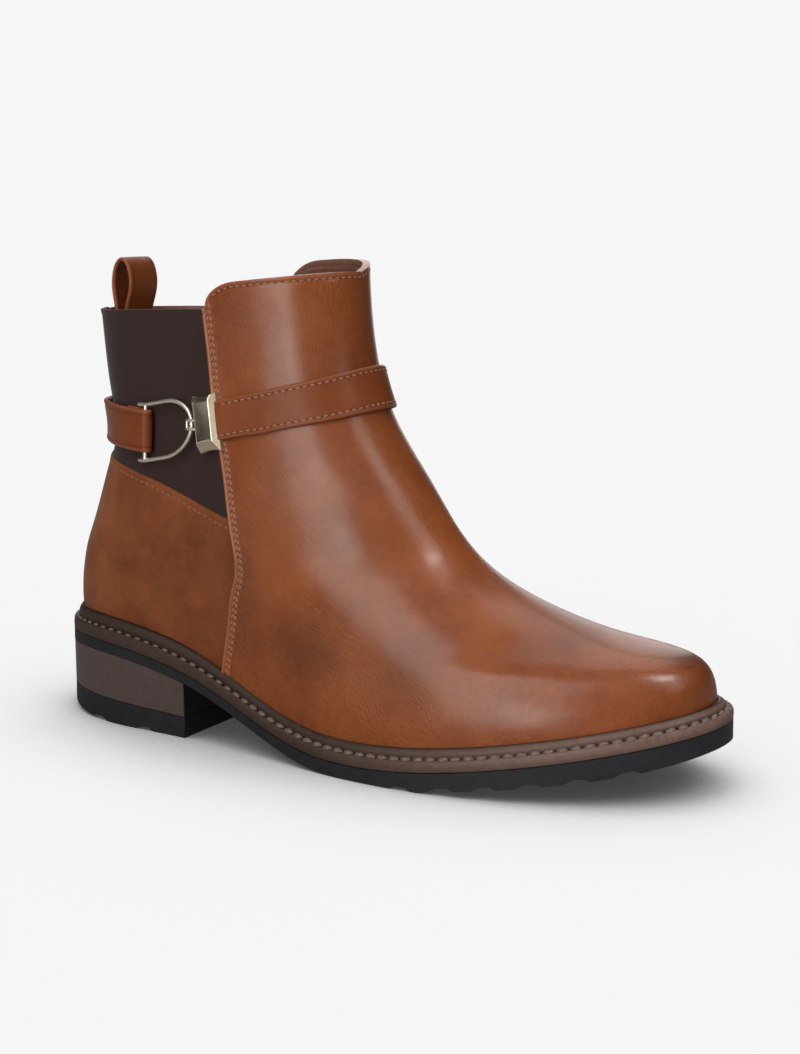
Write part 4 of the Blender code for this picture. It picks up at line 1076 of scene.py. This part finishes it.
# The zip
def build_zip():
    level = np.linspace(ZIP_FOOT + 0.002, COLLAR_MEDIAL - 0.003, 90)
    front, back = zip_turns(level)
    scale = turn_per_mm(TURN - front, level)
    start = front + (SEAM_STEP / 2 + TUCK) * scale
    end = back - TUCK * scale
    turns = TURN - between(start, end, np.linspace(0, 1, 13)[:, None])
    outer = skin(turns, level[None, :], ZIP_TAPE_OUTER)
    inner = skin(turns, level[None, :], GORE_INNER)
    tape = shell("zip_tape", outer, inner, [TAPE], facts={"flow": flow_of(outer)})
    dress(tape, "zip_tape", "zip")
    coil = Lumps()
    middle = (start + end) / 2
    wide = np.minimum(ZIP_COIL / 2, 0.35 * ((start - end) / scale - 2 * TUCK - 2 * GAP))
    path = skin(TURN - middle, level, ZIP_TAPE_OUTER + 0.35)
    steps = run_of(path)
    count = int(steps[-1] / ZIP_PITCH)
    for side in (-1, 1):
        places = (np.arange(count) + 0.5 + 0.25 * side) * ZIP_PITCH
        where = np.interp(places, steps, level)
        front, back = zip_turns(where)
        scale = turn_per_mm(TURN - front, where)
        reach = np.interp(where, level, wide)
        centre = TURN - (front + back) / 2 - side * 0.52 * reach * scale
        points = skin(centre, where, ZIP_TAPE_OUTER + 0.4)
        normals = outward(centre, where)
        rise = unit(last_point(centre, where + STEP) - last_point(centre, where - STEP))
        for point, normal, up, half in zip(points, normals, rise, reach):
            across = np.cross(up, normal)
            coil.add(point, across, normal, COIL_LUMP[0] * half, *COIL_LUMP[1:])
    dress(coil.finish("zip_coils", COIL), "zip_tape")


def zip_frame():
    """Origin and axes at the slider: across the zip, up along it, and outwards."""
    level = np.full(1, SLIDER_LEVEL)
    front, back = zip_turns(level)
    turn = TURN - (front + back) / 2
    out = outward(turn, level)[0]
    rise = (last_point(turn, level + STEP) - last_point(turn, level - STEP))[0]
    across = unit(np.cross(rise, out))
    return last_point(turn, level)[0], across, np.cross(out, across), out


def build_pull():
    """The leather tab on the zip's pull, with its row of stitches."""
    origin, across, up, out = zip_frame()
    pivot = origin + out * (SLIDER_BASE + SLIDER_SIZE[2] + GAP + PULL_WIRE / 2 + 0.1)
    wide, tall, thick = PULL_TAB
    top = PULL_EYE - PULL_DROP
    rows = np.linspace(0, 1, 44)
    drop = rows * tall
    neck = 0.5 + 0.5 * limit((drop - PULL_NECK) / 1.2)
    tip = limit((drop - tall + PULL_TIP) / (PULL_TIP + 0.05))
    tip = np.sqrt(np.clip(1 - tip**2, 0.06, 1))
    half = wide / 2 * np.minimum(neck, 0.35 + 0.65 * tip)
    side = half[:, None] * (2 * STRIP["share"] - 1)
    middle = pivot + (top - drop)[:, None, None] * up + side[..., None] * across
    body = np.minimum(STRIP["half"], 1.0) * thick / 2
    shift = body[:, None] * out
    eye = (0.75 * bump_at(drop - PULL_EYE, 0.9))[:, None, None] * out
    tab = shell(
        "pull_tab_leather", middle + shift + eye, middle - shift, [STRAP_LEATHER],
        facts={"flow": flow_of(middle)},
    )
    dress(tab, "strap", body="zip_pull")
    thread = Lumps()
    for x in (-1, 1):
        line = np.linspace(*PULL_ROW, 20)
        path = pivot + (top - line)[:, None] * up + x * (wide / 2 - 1.2) * across
        path = path + (thick / 2 + 0.02) * out
        thread.row(path, np.repeat(out[None], 20, axis=0), *STITCHES["pull"])
    dress(thread.finish("pull_tab_stitches", THREAD), "strap", body="zip_pull")


# The sole
def sole_grid(turns, shares, grow):
    """Plan points of the sole: turns along it, shares from the outer to the inner edge."""
    outer = sole_edge(turns, grow + 0 * turns)
    inner = sole_edge(TURN - turns, grow + 0 * turns)
    share = (np.asarray(shares) + 1)[None, :, None] / 2
    return outer[:, None, :] * (1 - share) + inner[:, None, :] * share


def turns_at(xs):
    length = LAST["front_x"][0] - LAST["back_x"][0]
    return station_turn((np.asarray(xs, float) - LAST["back_x"][0]) / length)


def with_height(plan, height):
    return np.concatenate([plan, height[..., None]], axis=-1)


def notch_depth(x, starts):
    """How deep the side notches cut at each place along the sole."""
    depth = np.zeros_like(x)
    for start in starts:
        rise = (x - start + NOTCH_SLOPE) / (2 * NOTCH_SLOPE)
        fall = (start + NOTCH_WIDTH + NOTCH_SLOPE - x) / (2 * NOTCH_SLOPE)
        depth = np.maximum(depth, NOTCH_DEPTH * smooth_step(np.minimum(rise, fall)))
    return depth


def lift_height(x):
    """Top of the heel's top lift, which is thicker at the back."""
    return between(LIFT_AT_BACK, LIFT_AT_BREAST, x / HEEL_BREAST)


def lift_foot(x):
    """Underside of the top lift, which rises towards the back."""
    return LIFT_BEVEL * limit(1 - x / LIFT_FLAT_X) ** 2


HALF_SHARES = np.array((0.4, 0.66, NOTCH_REACH, 0.8, 0.9, 0.97, 1))
SIDE_SHARES = np.concatenate([-HALF_SHARES[::-1], [0], HALF_SHARES])


def build_outsole():
    turns = np.unique(np.concatenate([np.linspace(0, math.pi, 150), turns_at(np.arange(166, 256, 0.7))]))
    plan = sole_grid(turns, SIDE_SHARES, welt_width(turns))
    x = plan[..., 0]
    middle = x[:, len(SIDE_SHARES) // 2][:, None] + 0 * x
    top = sole_value("seat_z", x)
    bottom = np.maximum(top - sole_value("thick", x), 0)
    pad = limit(np.minimum(x - PAD_X[0], PAD_X[1] - x) / PAD_EASE + 1)
    bottom = bottom * (1 - pad)
    bottom = bottom + notch_depth(middle, SOLE_NOTCHES) * (np.abs(SIDE_SHARES) >= NOTCH_REACH)
    sole = shell("outsole_rubber", with_height(plan, top), with_height(plan, bottom), [RUBBER])
    dress(sole, "sole_rubber", "outsole", bevel=0.5)


def build_heel():
    breast = float(turns_at(HEEL_BREAST))
    turns = np.append(np.linspace(0, float(turns_at(HEEL_BREAST - 0.6)), 70), breast)
    wide = sole_grid(turns, SIDE_SHARES, welt_width(turns) - HEEL_INSET)
    narrow = sole_grid(turns, SIDE_SHARES, welt_width(turns) - HEEL_INSET - HEEL_TAPER)
    seat = sole_value("seat_z", wide[..., 0]) - sole_value("thick", wide[..., 0]) - GAP
    foot = lift_height(narrow[..., 0]) + GAP
    # the breast face is coloured near black
    dark = np.repeat(turns[:, None] >= breast, len(SIDE_SHARES), axis=1).astype(float)
    block = shell(
        "heel_block_body", with_height(wide, seat), with_height(narrow, foot), [HEEL],
        facts={"painted_shade_and_burnish": dark},
    )
    dress(block, "heel", "heel_block", bevel=0.25)
    middle = narrow[:, len(SIDE_SHARES) // 2, 0][:, None] + 0 * seat
    bottom = notch_depth(middle, HEEL_NOTCHES) * (np.abs(SIDE_SHARES) >= NOTCH_REACH)
    bottom = bottom + lift_foot(narrow[..., 0])
    top = lift_height(narrow[..., 0])
    lift = shell("top_lift_rubber", with_height(narrow, top), with_height(narrow, bottom), [RUBBER])
    dress(lift, "sole_rubber", "heel_top_lift", bevel=0.5)


def build_insole():
    shares = np.linspace(-1, 1, 17)
    plan = sole_grid(np.linspace(0, math.pi, 90), shares, -LINING_DEPTH - 2 * GAP)
    seat = sole_value("seat_z", plan[..., 0]) + GAP
    dish = INSOLE_DISH * (1 - shares**2)
    top = with_height(plan, seat + INSOLE_THICK - dish)
    insole = shell("insole_sheet", top, with_height(plan, seat), [INSOLE], facts={"flow": flow_of(top)})
    dress(insole, "insole", "insole", bevel=0.4)


def welt_ring(turns, share, rise):
    """One line round the welt at a share of its width and a height above the outsole."""
    width = welt_width(turns)
    foot = last_point(turns, 0 * turns)[:, :2]
    edge = sole_edge(turns, np.ones_like(turns)) - foot
    tall = LAST["back_z"][1] - LAST["back_z"][0]
    station = station_of(turns)
    rise = rise * (1 - WELT_LOWER * smooth_step((station - 0.2) / 0.25))
    wall = last_point(turns, rise / tall * LEVELS[1])[:, :2]
    lean = ((wall - foot) * edge).sum(axis=1)
    proud = np.interp(station, WELT_STATIONS, (-PANEL_PROUD, PANEL_PROUD))
    reach = np.maximum(width * share, lean + GAP + proud)
    plan = foot + edge * reach[:, None]
    return with_height(plan, sole_value("seat_z", plan[:, 0]) + GAP + rise)


def build_welt():
    turns = np.linspace(0, TURN, 420, endpoint=False)
    grid = np.array([welt_ring(turns, share, rise) for share, rise, painted_shade_and_burnish in WELT_SECTION])
    rings, count = grid.shape[:2]
    # darker towards the heel and waist, partly painted shade and partly a darker tone of the welt there,
    # on top of the section's painted shade
    dark = 0.72 * limit((0.85 - station_of(turns)) / 0.35)
    painted_shade_and_burnish = columns(WELT_COLUMNS, WELT_SECTION)["painted_shade_and_burnish"][:, None]
    facts = {"painted_shade_and_burnish": (painted_shade_and_burnish + (1 - painted_shade_and_burnish) * dark).ravel()}
    faces = ring_quads(rings, count, closed=True)
    welt = make_object("welt_strip", placed(grid.reshape(-1, 3)), faces, [WELT], facts=facts)
    dress(welt, "welt", "welt", bevel=0.2)
    stitches = Lumps()
    turns = np.linspace(0.0, TURN, 1200)
    path = welt_ring(turns, *WELT_ROW)
    up = np.repeat(np.array([[0.0, 0.0, 1.0]]), len(turns), axis=0)
    size = 0.68 + 0.32 * limit((station_of(turns) - 0.2) / 0.25)
    stitches.row(path, up, *STITCHES["welt"], slant=0.12, size=size)
    dress(stitches.finish("welt_stitches", WELT_THREAD), "welt")


# The straps, the ring, the end cap and the pull loop
def strap_grid(table, turns):
    """Middle points of a strap that lies on the upper, from its table."""
    rows = columns(STRAP_COLUMNS, table)
    low, high, height = (
        natural_cubic(rows["station"], rows[name], station_of(turns))[:, None]
        for name in ("low", "high", "height")
    )
    return skin(turns[:, None], between(low, high, STRIP["share"]), height)


def strap_stitches(thread, holes, grid, thick, first, last):
    """A row of stitches and needle holes along both edges of a strap's outer face."""
    normal = grid_normals(grid)
    for share in (0.12, 0.88):
        k = int(np.abs(STRIP["share"] - share).argmin())
        path = grid[:, k] + normal[:, k] * thick * 0.46
        span_of = slice(int(first * len(grid)), int(last * len(grid)))
        thread.row(path[span_of], normal[span_of, k], *STITCHES["strap"])
        holes.row(path[span_of], normal[span_of, k], *STITCHES["strap_hole"], offset=0.5)


def build_front_strap(thread, holes):
    end = columns(STRAP_END_COLUMNS, STRAP_END)
    z = between(end["low_z"][:, None], end["high_z"][:, None], STRIP["share"])
    tongue = side_skin(end["x"][:, None] + 0 * z, z, end["height"][:, None])
    medial = TURN - seam_turn(STRAP_AT_ZIP[0], "medial") - 0.01
    turns = np.linspace(station_turn(STRAP_START), medial, 28)
    band = refine(np.concatenate([tongue, strap_grid(FRONT_STRAP, turns)]), 200)
    front = strip("strap_front_band", band, STRAP_THICK, [STRAP_LEATHER])
    dress(front, "strap", "strap_front")
    strap_stitches(thread, holes, band, STRAP_THICK, 0.045, 0.99)


def build_rear_strap(thread, holes):
    """The strap from the zip round the back, folded round the ring's bar and sewn down."""
    back = zip_turns(np.full(1, STRAP_AT_ZIP[1]))[1][0]
    round_back = np.linspace(TURN - back + 0.012, TURN, 14)
    out = columns(FOLD_COLUMNS, FOLD_OUT)
    home = columns(FOLD_COLUMNS, FOLD_BACK)
    bend = np.linspace(math.pi / 2, -math.pi / 2, 7)
    radius = RING_WIRE / 2 + GAP + FOLD_THICK / 2
    xs = np.concatenate([out["x"], RING_BAR_X + radius * np.cos(bend), home["x"]])
    heights = np.concatenate([out["height"], RING_BAR_OFFSET + radius * np.sin(bend), home["height"]])
    share = (xs - xs[0]) / (RING_BAR_X - xs[0])
    low = between(*FOLD_LOW, share)[:, None]
    high = between(*FOLD_HIGH, share)[:, None]
    z = between(low, high, STRIP["share"])
    fold = side_skin(xs[:, None] + 0 * z, z, heights[:, None])
    turns = np.concatenate([round_back, TURN + np.array((0.17, 0.34))])
    band = refine(np.concatenate([strap_grid(REAR_STRAP, turns), fold]), 340)
    x = band[:, len(STRIP["share"]) // 2, 0]
    outside = np.arange(len(x)) <= x.argmax()
    flap = outside * limit((x - FLAP_X) / 0.7)
    ridge = outside * bump_at(x - FLAP_X - 2.0, 0.9)
    raised = 0.6 * flap * limit((RING_BAR_X + 1.5 - x) / 1.5) + 0.25 * ridge
    # painted shadow along the edge of the folded flap, and a line of painted shade across the flap
    seam = outside * bump_at(x - FLAP_X + 0.3, 0.5)
    groove = outside * bump_at(x - FLAP_X - 3.6, 0.4)
    # the flap's ridge takes a painted highlight
    strap = strip(
        "strap_rear_band", band, FOLD_THICK, [STRAP_LEATHER], raised,
        0.5 * ridge, 0.95 * seam + 0.6 * groove,
    )
    dress(strap, "strap", "strap_rear")
    strap_stitches(thread, holes, band, FOLD_THICK, 0.01, 0.62)


def build_straps():
    thread = Lumps()
    holes = Lumps()
    build_front_strap(thread, holes)
    build_rear_strap(thread, holes)
    dress(thread.finish("strap_stitches", THREAD), "strap")
    dress(holes.finish("strap_needle_holes", HOLE_SHADE), "strap")


def tube(name, points, wire, material):
    """A round wire along points in millimetres, with domed ends."""
    sides = 14
    start = points[0] - points[1]
    end = points[-1] - points[-2]
    lead = DOME["reach"][:, None] * wire / 2
    sizes = np.concatenate([DOME["size"], np.ones(len(points)), DOME["size"][::-1]])
    points = np.concatenate([
        points[0] + unit(start) * lead, points, points[-1] + unit(end) * lead[::-1],
    ])
    along = unit(np.gradient(points, axis=0))
    flat = np.linalg.svd(points - points.mean(axis=0))[2][-1]
    beside = unit(np.cross(along, flat))
    over = np.cross(beside, along)
    angle = TURN * (np.arange(sides) + 0.5) / sides
    ring = beside[:, None] * np.cos(angle)[None, :, None] + over[:, None] * np.sin(angle)[None, :, None]
    verts = points[:, None] + ring * (sizes * wire / 2)[:, None, None]
    count = len(points)
    faces = ring_quads(count, sides)
    faces.append(tuple(range(sides)))
    faces.append(tuple(range((count - 1) * sides, count * sides)))
    return make_object(name, placed(verts.reshape(-1, 3)), faces, [material])


def ring_middle(x):
    return RING_MID_Z + RING_TILT * np.maximum(x - RING_BAR_X, 0)


def ring_path(x, rise):
    height = between(RING_BAR_OFFSET, RING_APEX_OFFSET, limit((x - RING_BAR_X) / RING_REACH))
    return side_skin(x, ring_middle(x) + rise, height)


def build_ring():
    angle = np.linspace(math.pi / 2, -math.pi / 2, 61)
    start = RING_BAR_X + RING_ARM
    top = np.linspace(RING_BAR_X - RING_ENDS[0], start, 15)[:-1]
    low = np.linspace(start, RING_BAR_X - RING_ENDS[1], 15)[1:]
    x = np.concatenate([top, start + RING_BOW * np.cos(angle), low])
    rise = np.concatenate([0 * top + RING_HALF, RING_HALF * np.sin(angle), 0 * low - RING_HALF])
    ring = tube("ring_bow", ring_path(x, rise), RING_WIRE, RING_GOLD)
    dress(ring, "hardware", "buckle_ring")
    rise = RING_HALF * np.linspace(-1, 1, 9)
    bar = tube("ring_bar", ring_path(np.full(9, RING_BAR_X), rise), RING_WIRE, RING_GOLD)
    dress(bar, "hardware")


def build_cap():
    """A chamfered, slightly hollow sleeve on the strap's end, and its wire link round the ring."""
    share = np.linspace(0, 1, 34)[:, None]
    across = np.linspace(-1, 1, 48)
    waist = 4 * (share - 0.5) ** 2
    half = between(*CAP_HALF, waist)
    rise = half * across
    z = between(*CAP_MID_Z, share) + rise
    x = between(*CAP_X, share) - CAP_LEAN * rise
    long = CAP_X[1] - CAP_X[0]
    low = limit((1 + across) * half / CAP_FACET[0])
    high = limit((1 - across) * half / CAP_FACET[1])
    ahead = limit((1 - share) * long / CAP_BEVEL)
    behind = limit(share * long / CAP_BACK)
    slopes = zip(CAP_DROPS, same_shape(low, high, ahead, behind))
    height = between(*CAP_CROWN, waist) - np.max([drop * (1 - slope) for drop, slope in slopes], axis=0)
    outer = side_skin(x, z, height)
    inner = side_skin(x, z, CAP_BASE + 0 * z)
    bevels = ((low < 1) | (ahead < 1)).astype(float)
    cap = shell("end_cap_sleeve", outer, inner, [GOLD], facts={"satin": bevels})
    dress(cap, "hardware", "strap_end_cap", bevel=0.2)
    apex = RING_BAR_X + RING_REACH
    x = np.array((CAP_X[0] + 0.6, apex + 0.9, apex - 0.9, apex - KNUCKLE_ROUND))
    over = np.array((0.9, 1.35, 1.1, 0.4))
    path = np.concatenate([x, x[::-1]])
    lift = RING_APEX_OFFSET + np.concatenate([over, -over[::-1]])
    for name, rise in (("upper", 1.0), ("lower", -1.0)):
        z = ring_middle(apex) + rise * (KNUCKLE_HALF - LINK_WIRE / 2)
        wire = refine(side_skin(path, z, lift)[:, None, :], 40)[:, 0]
        dress(tube("end_cap_link_" + name, wire, LINK_WIRE, RING_GOLD), "hardware", "strap_end_cap")
    rise = np.linspace(-1, 1, 7) * (KNUCKLE_HALF - LINK_WIRE / 2)
    across = side_skin(apex - KNUCKLE_ROUND + 0 * rise, ring_middle(apex) + rise, RING_APEX_OFFSET + 0.4)
    dress(tube("end_cap_link_end", across, LINK_WIRE, RING_GOLD), "hardware", "strap_end_cap")


def build_loop():
    path = np.array(LOOP_PATH)
    side = LOOP_HALF * (2 * STRIP["share"] - 1)
    x = path[:, :1] + 0 * side
    z = path[:, 1:] + 0 * side
    grid = refine(np.stack([x, side + 0 * x, z], axis=-1), 110)
    dress(strip("pull_loop_strip", grid, LOOP_THICK, [STRAP_LEATHER]), "strap", "pull_loop")


# Stitches of the upper
def build_stitches():
    thread = Lumps()
    holes = Lumps()
    lateral = np.linspace(0.045, COLLAR_SEAM + 0.012, 400)
    medial = np.linspace(0.05, COLLAR_MEDIAL + 0.008, 400)
    for level, side, sign in ((lateral, "lateral", 1), (medial, "medial", -1)):
        seam = seam_turn(level, side) if sign > 0 else TURN - seam_turn(level, side)
        scale = turn_per_mm(seam, level)
        for number, place in enumerate(SEAM_ROWS):
            turn = seam + sign * (place + SEAM_STEP / 2 * sign) * scale
            path = skin(turn, level, PANEL_PROUD + 0.18)
            normal = outward(turn, level)
            thread.row(path, normal, *STITCHES["seam"], slant=0.35 * (1 if number else -1) * sign)
            holes.row(path, normal, *STITCHES["seam_hole"], offset=0.5)
    turn = np.linspace(1.78, TURN - 1.62, 500)
    level = front_collar(turn) - HEM / MM_PER_LEVEL["front"]
    path = skin(turn, level, PANEL_PROUD - 0.12)
    thread.row(path, outward(turn, level), *STITCHES["hem"])
    holes.row(path, outward(turn, level), *STITCHES["hem_hole"], offset=0.5)
    turn = np.linspace(station_turn(GORE_BACK) + 0.02, seam_turn(GORE_FOOT, "lateral") - 0.03, 200)
    level = np.full_like(turn, GORE_FOOT - EDGE_ROW / MM_PER_LEVEL["quarter"])
    path = skin(turn, level, -PANEL_PROUD - 0.12)
    dark = Lumps()
    dark.row(path, outward(turn, level), *STITCHES["gore"])
    dress(dark.finish("gore_stitches", DARK_THREAD), "upper")
    level = np.linspace(ZIP_FOOT, COLLAR_MEDIAL - 0.004, 300)
    back = zip_turns(level)[1]
    turn = TURN - back + EDGE_ROW * turn_per_mm(TURN - back, level)
    path = skin(turn, level, -PANEL_PROUD - 0.12)
    thread.row(path, outward(turn, level), *STITCHES["zip"])
    dress(thread.finish("upper_stitches", THREAD), "upper")
    dress(holes.finish("upper_needle_holes", HOLE_SHADE), "upper")


build_front()
build_rear()
build_gore()
build_zip()
build_pull()
build_outsole()
build_heel()
build_insole()
build_welt()
build_straps()
build_ring()
build_cap()
build_loop()
build_stitches()


# The slider and the wire of the pull keep their solids, with rounded edges
for name in ("zip_slider", "zip_pull_ring"):
    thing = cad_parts[name]
    thing.data.materials.clear()
    thing.data.materials.append(LACQUER)
    rounded = thing.modifiers.new("rounded_edges", "BEVEL")
    rounded.width = 0.25 * MM
    rounded.segments = 2
    rounded.limit_method = "ANGLE"


# The stage
CAMERA_PLACE = (0.32956, -0.55357, 0.198)
CAMERA_TURN = math.radians(29.93)
CAMERA_TILT = math.radians(5.15)
CAMERA_LENS = 59.7
CAMERA_SHIFT = -0.15
LIGHT_AIM = Vector((0.0, 0.0, 0.08))
TOE_AIM = Vector((0.112, -0.005, 0.045))


def build_floor():
    bm = bmesh.new()
    bmesh.ops.create_grid(bm, x_segments=8, y_segments=8, size=4.0)
    mesh = bpy.data.meshes.new("floor")
    bm.to_mesh(mesh)
    bm.free()
    material, tree, shader = new_material("floor_paper", Roughness=0.9, Specular_IOR_Level=0.1)
    place = place_of(tree)
    cloud = noise(tree, place, 3.0)
    tree.links.new(ramp(tree, cloud, (0.3, 0.90), (0.7, 0.91)), shader.inputs["Base Color"])
    away = node(tree, "VectorMath", {"operation": "LENGTH"}, Vector=place).outputs["Value"]
    # the camera sees a glowing floor darkened near the boot by ambient occlusion: a painted contact shadow
    near = node(tree, "AmbientOcclusion", {"samples": 8}, Distance=0.075).outputs["AO"]
    shade = ramp(tree, near, (0.2, 0.05), (0.55, 0.4), (0.75, 0.74), (0.93, 0.922))
    glow = node(tree, "Emission", Color=shade, Strength=1.0)
    fade = mix_shaders(tree, span(tree, away, 0.05, 0.40, 0.9, 1.0), shader, glow)
    # other rays see a darker floor near the boot: painted shade for its bounce light and reflections
    bounce = node(tree, "BsdfDiffuse", Color=ramp(tree, away, (0.45, 0.28), (0.7, 0.9)))
    seen = mix_shaders(tree, node(tree, "LightPath").outputs["Is Camera Ray"], bounce, fade)
    tree.links.new(seen.outputs["Shader"], tree.nodes["Material Output"].inputs["Surface"])
    mesh.materials.append(material)
    floor = add("floor", mesh)


def softbox(name, azimuth, elevation, away, size, power, aim=LIGHT_AIM, spread=math.pi):
    """A softbox aimed at the boot; azimuth 0 stands by the camera and grows to its right."""
    light = bpy.data.lights.new(name, "AREA")
    light.shape = "RECTANGLE"
    light.size, light.size_y = size
    light.energy = power
    light.spread = spread
    thing = add(name, light)
    side = math.radians(azimuth) + CAMERA_TURN
    rise = math.radians(elevation)
    way = Vector((math.sin(side), -math.cos(side), 0)) * math.cos(rise) + Vector((0, 0, math.sin(rise)))
    thing.location = aim + away * way
    thing.rotation_euler = (-way).to_track_quat("-Z", "Y").to_euler()
    thing.visible_camera = False


def build_light():
    softbox("left_light", -27.0, 26.0, 1.3, (0.6, 1.6), 13.2)
    softbox("low_light", -15.0, 4.0, 1.3, (0.32, 0.5), 2.1)
    softbox("right_light", 47.0, 42.0, 1.3, (0.4, 1.2), 4.9)
    softbox("top_light", 180.0, 68.0, 1.4, (1.3, 1.1), 8.8)
    softbox("toe_light", 43.0, 53.0, 0.45, (0.13, 0.16), 0.022, TOE_AIM, math.radians(22.0))
    softbox("back_light", 178.0, 20.0, 1.4, (1.0, 1.0), 5.0)
    world = bpy.data.worlds.new("studio")
    bpy.context.scene.world = world
    world.use_nodes = True
    tree = world.node_tree
    dim = tree.nodes["Background"]
    dim.inputs["Color"].default_value = (1.0, 1.0, 1.0, 1.0)
    dim.inputs["Strength"].default_value = 0.06
    pale = node(tree, "Background", Color=(0.922, 0.922, 0.922, 1.0), Strength=1.0)
    both = mix_shaders(tree, node(tree, "LightPath").outputs["Is Camera Ray"], dim, pale)
    tree.links.new(both.outputs["Shader"], tree.nodes["World Output"].inputs["Surface"])


def build_camera():
    """A camera where the photograph was taken from, turned to the boot."""
    data = bpy.data.cameras.new("camera")
    data.sensor_fit = "VERTICAL"
    data.sensor_height = 36.0
    data.lens = CAMERA_LENS
    data.shift_y = CAMERA_SHIFT
    data.clip_start = 0.01
    camera = add("camera", data)
    camera.location = CAMERA_PLACE
    level = Vector((-math.sin(CAMERA_TURN), math.cos(CAMERA_TURN), 0))
    aim = level * math.cos(CAMERA_TILT) - Vector((0, 0, math.sin(CAMERA_TILT)))
    camera.rotation_euler = aim.to_track_quat("-Z", "Y").to_euler()
    bpy.context.scene.camera = camera


build_floor()
build_light()
build_camera()
bpy.context.scene.view_settings.view_transform = "Standard"
bpy.context.scene.view_settings.look = "None"
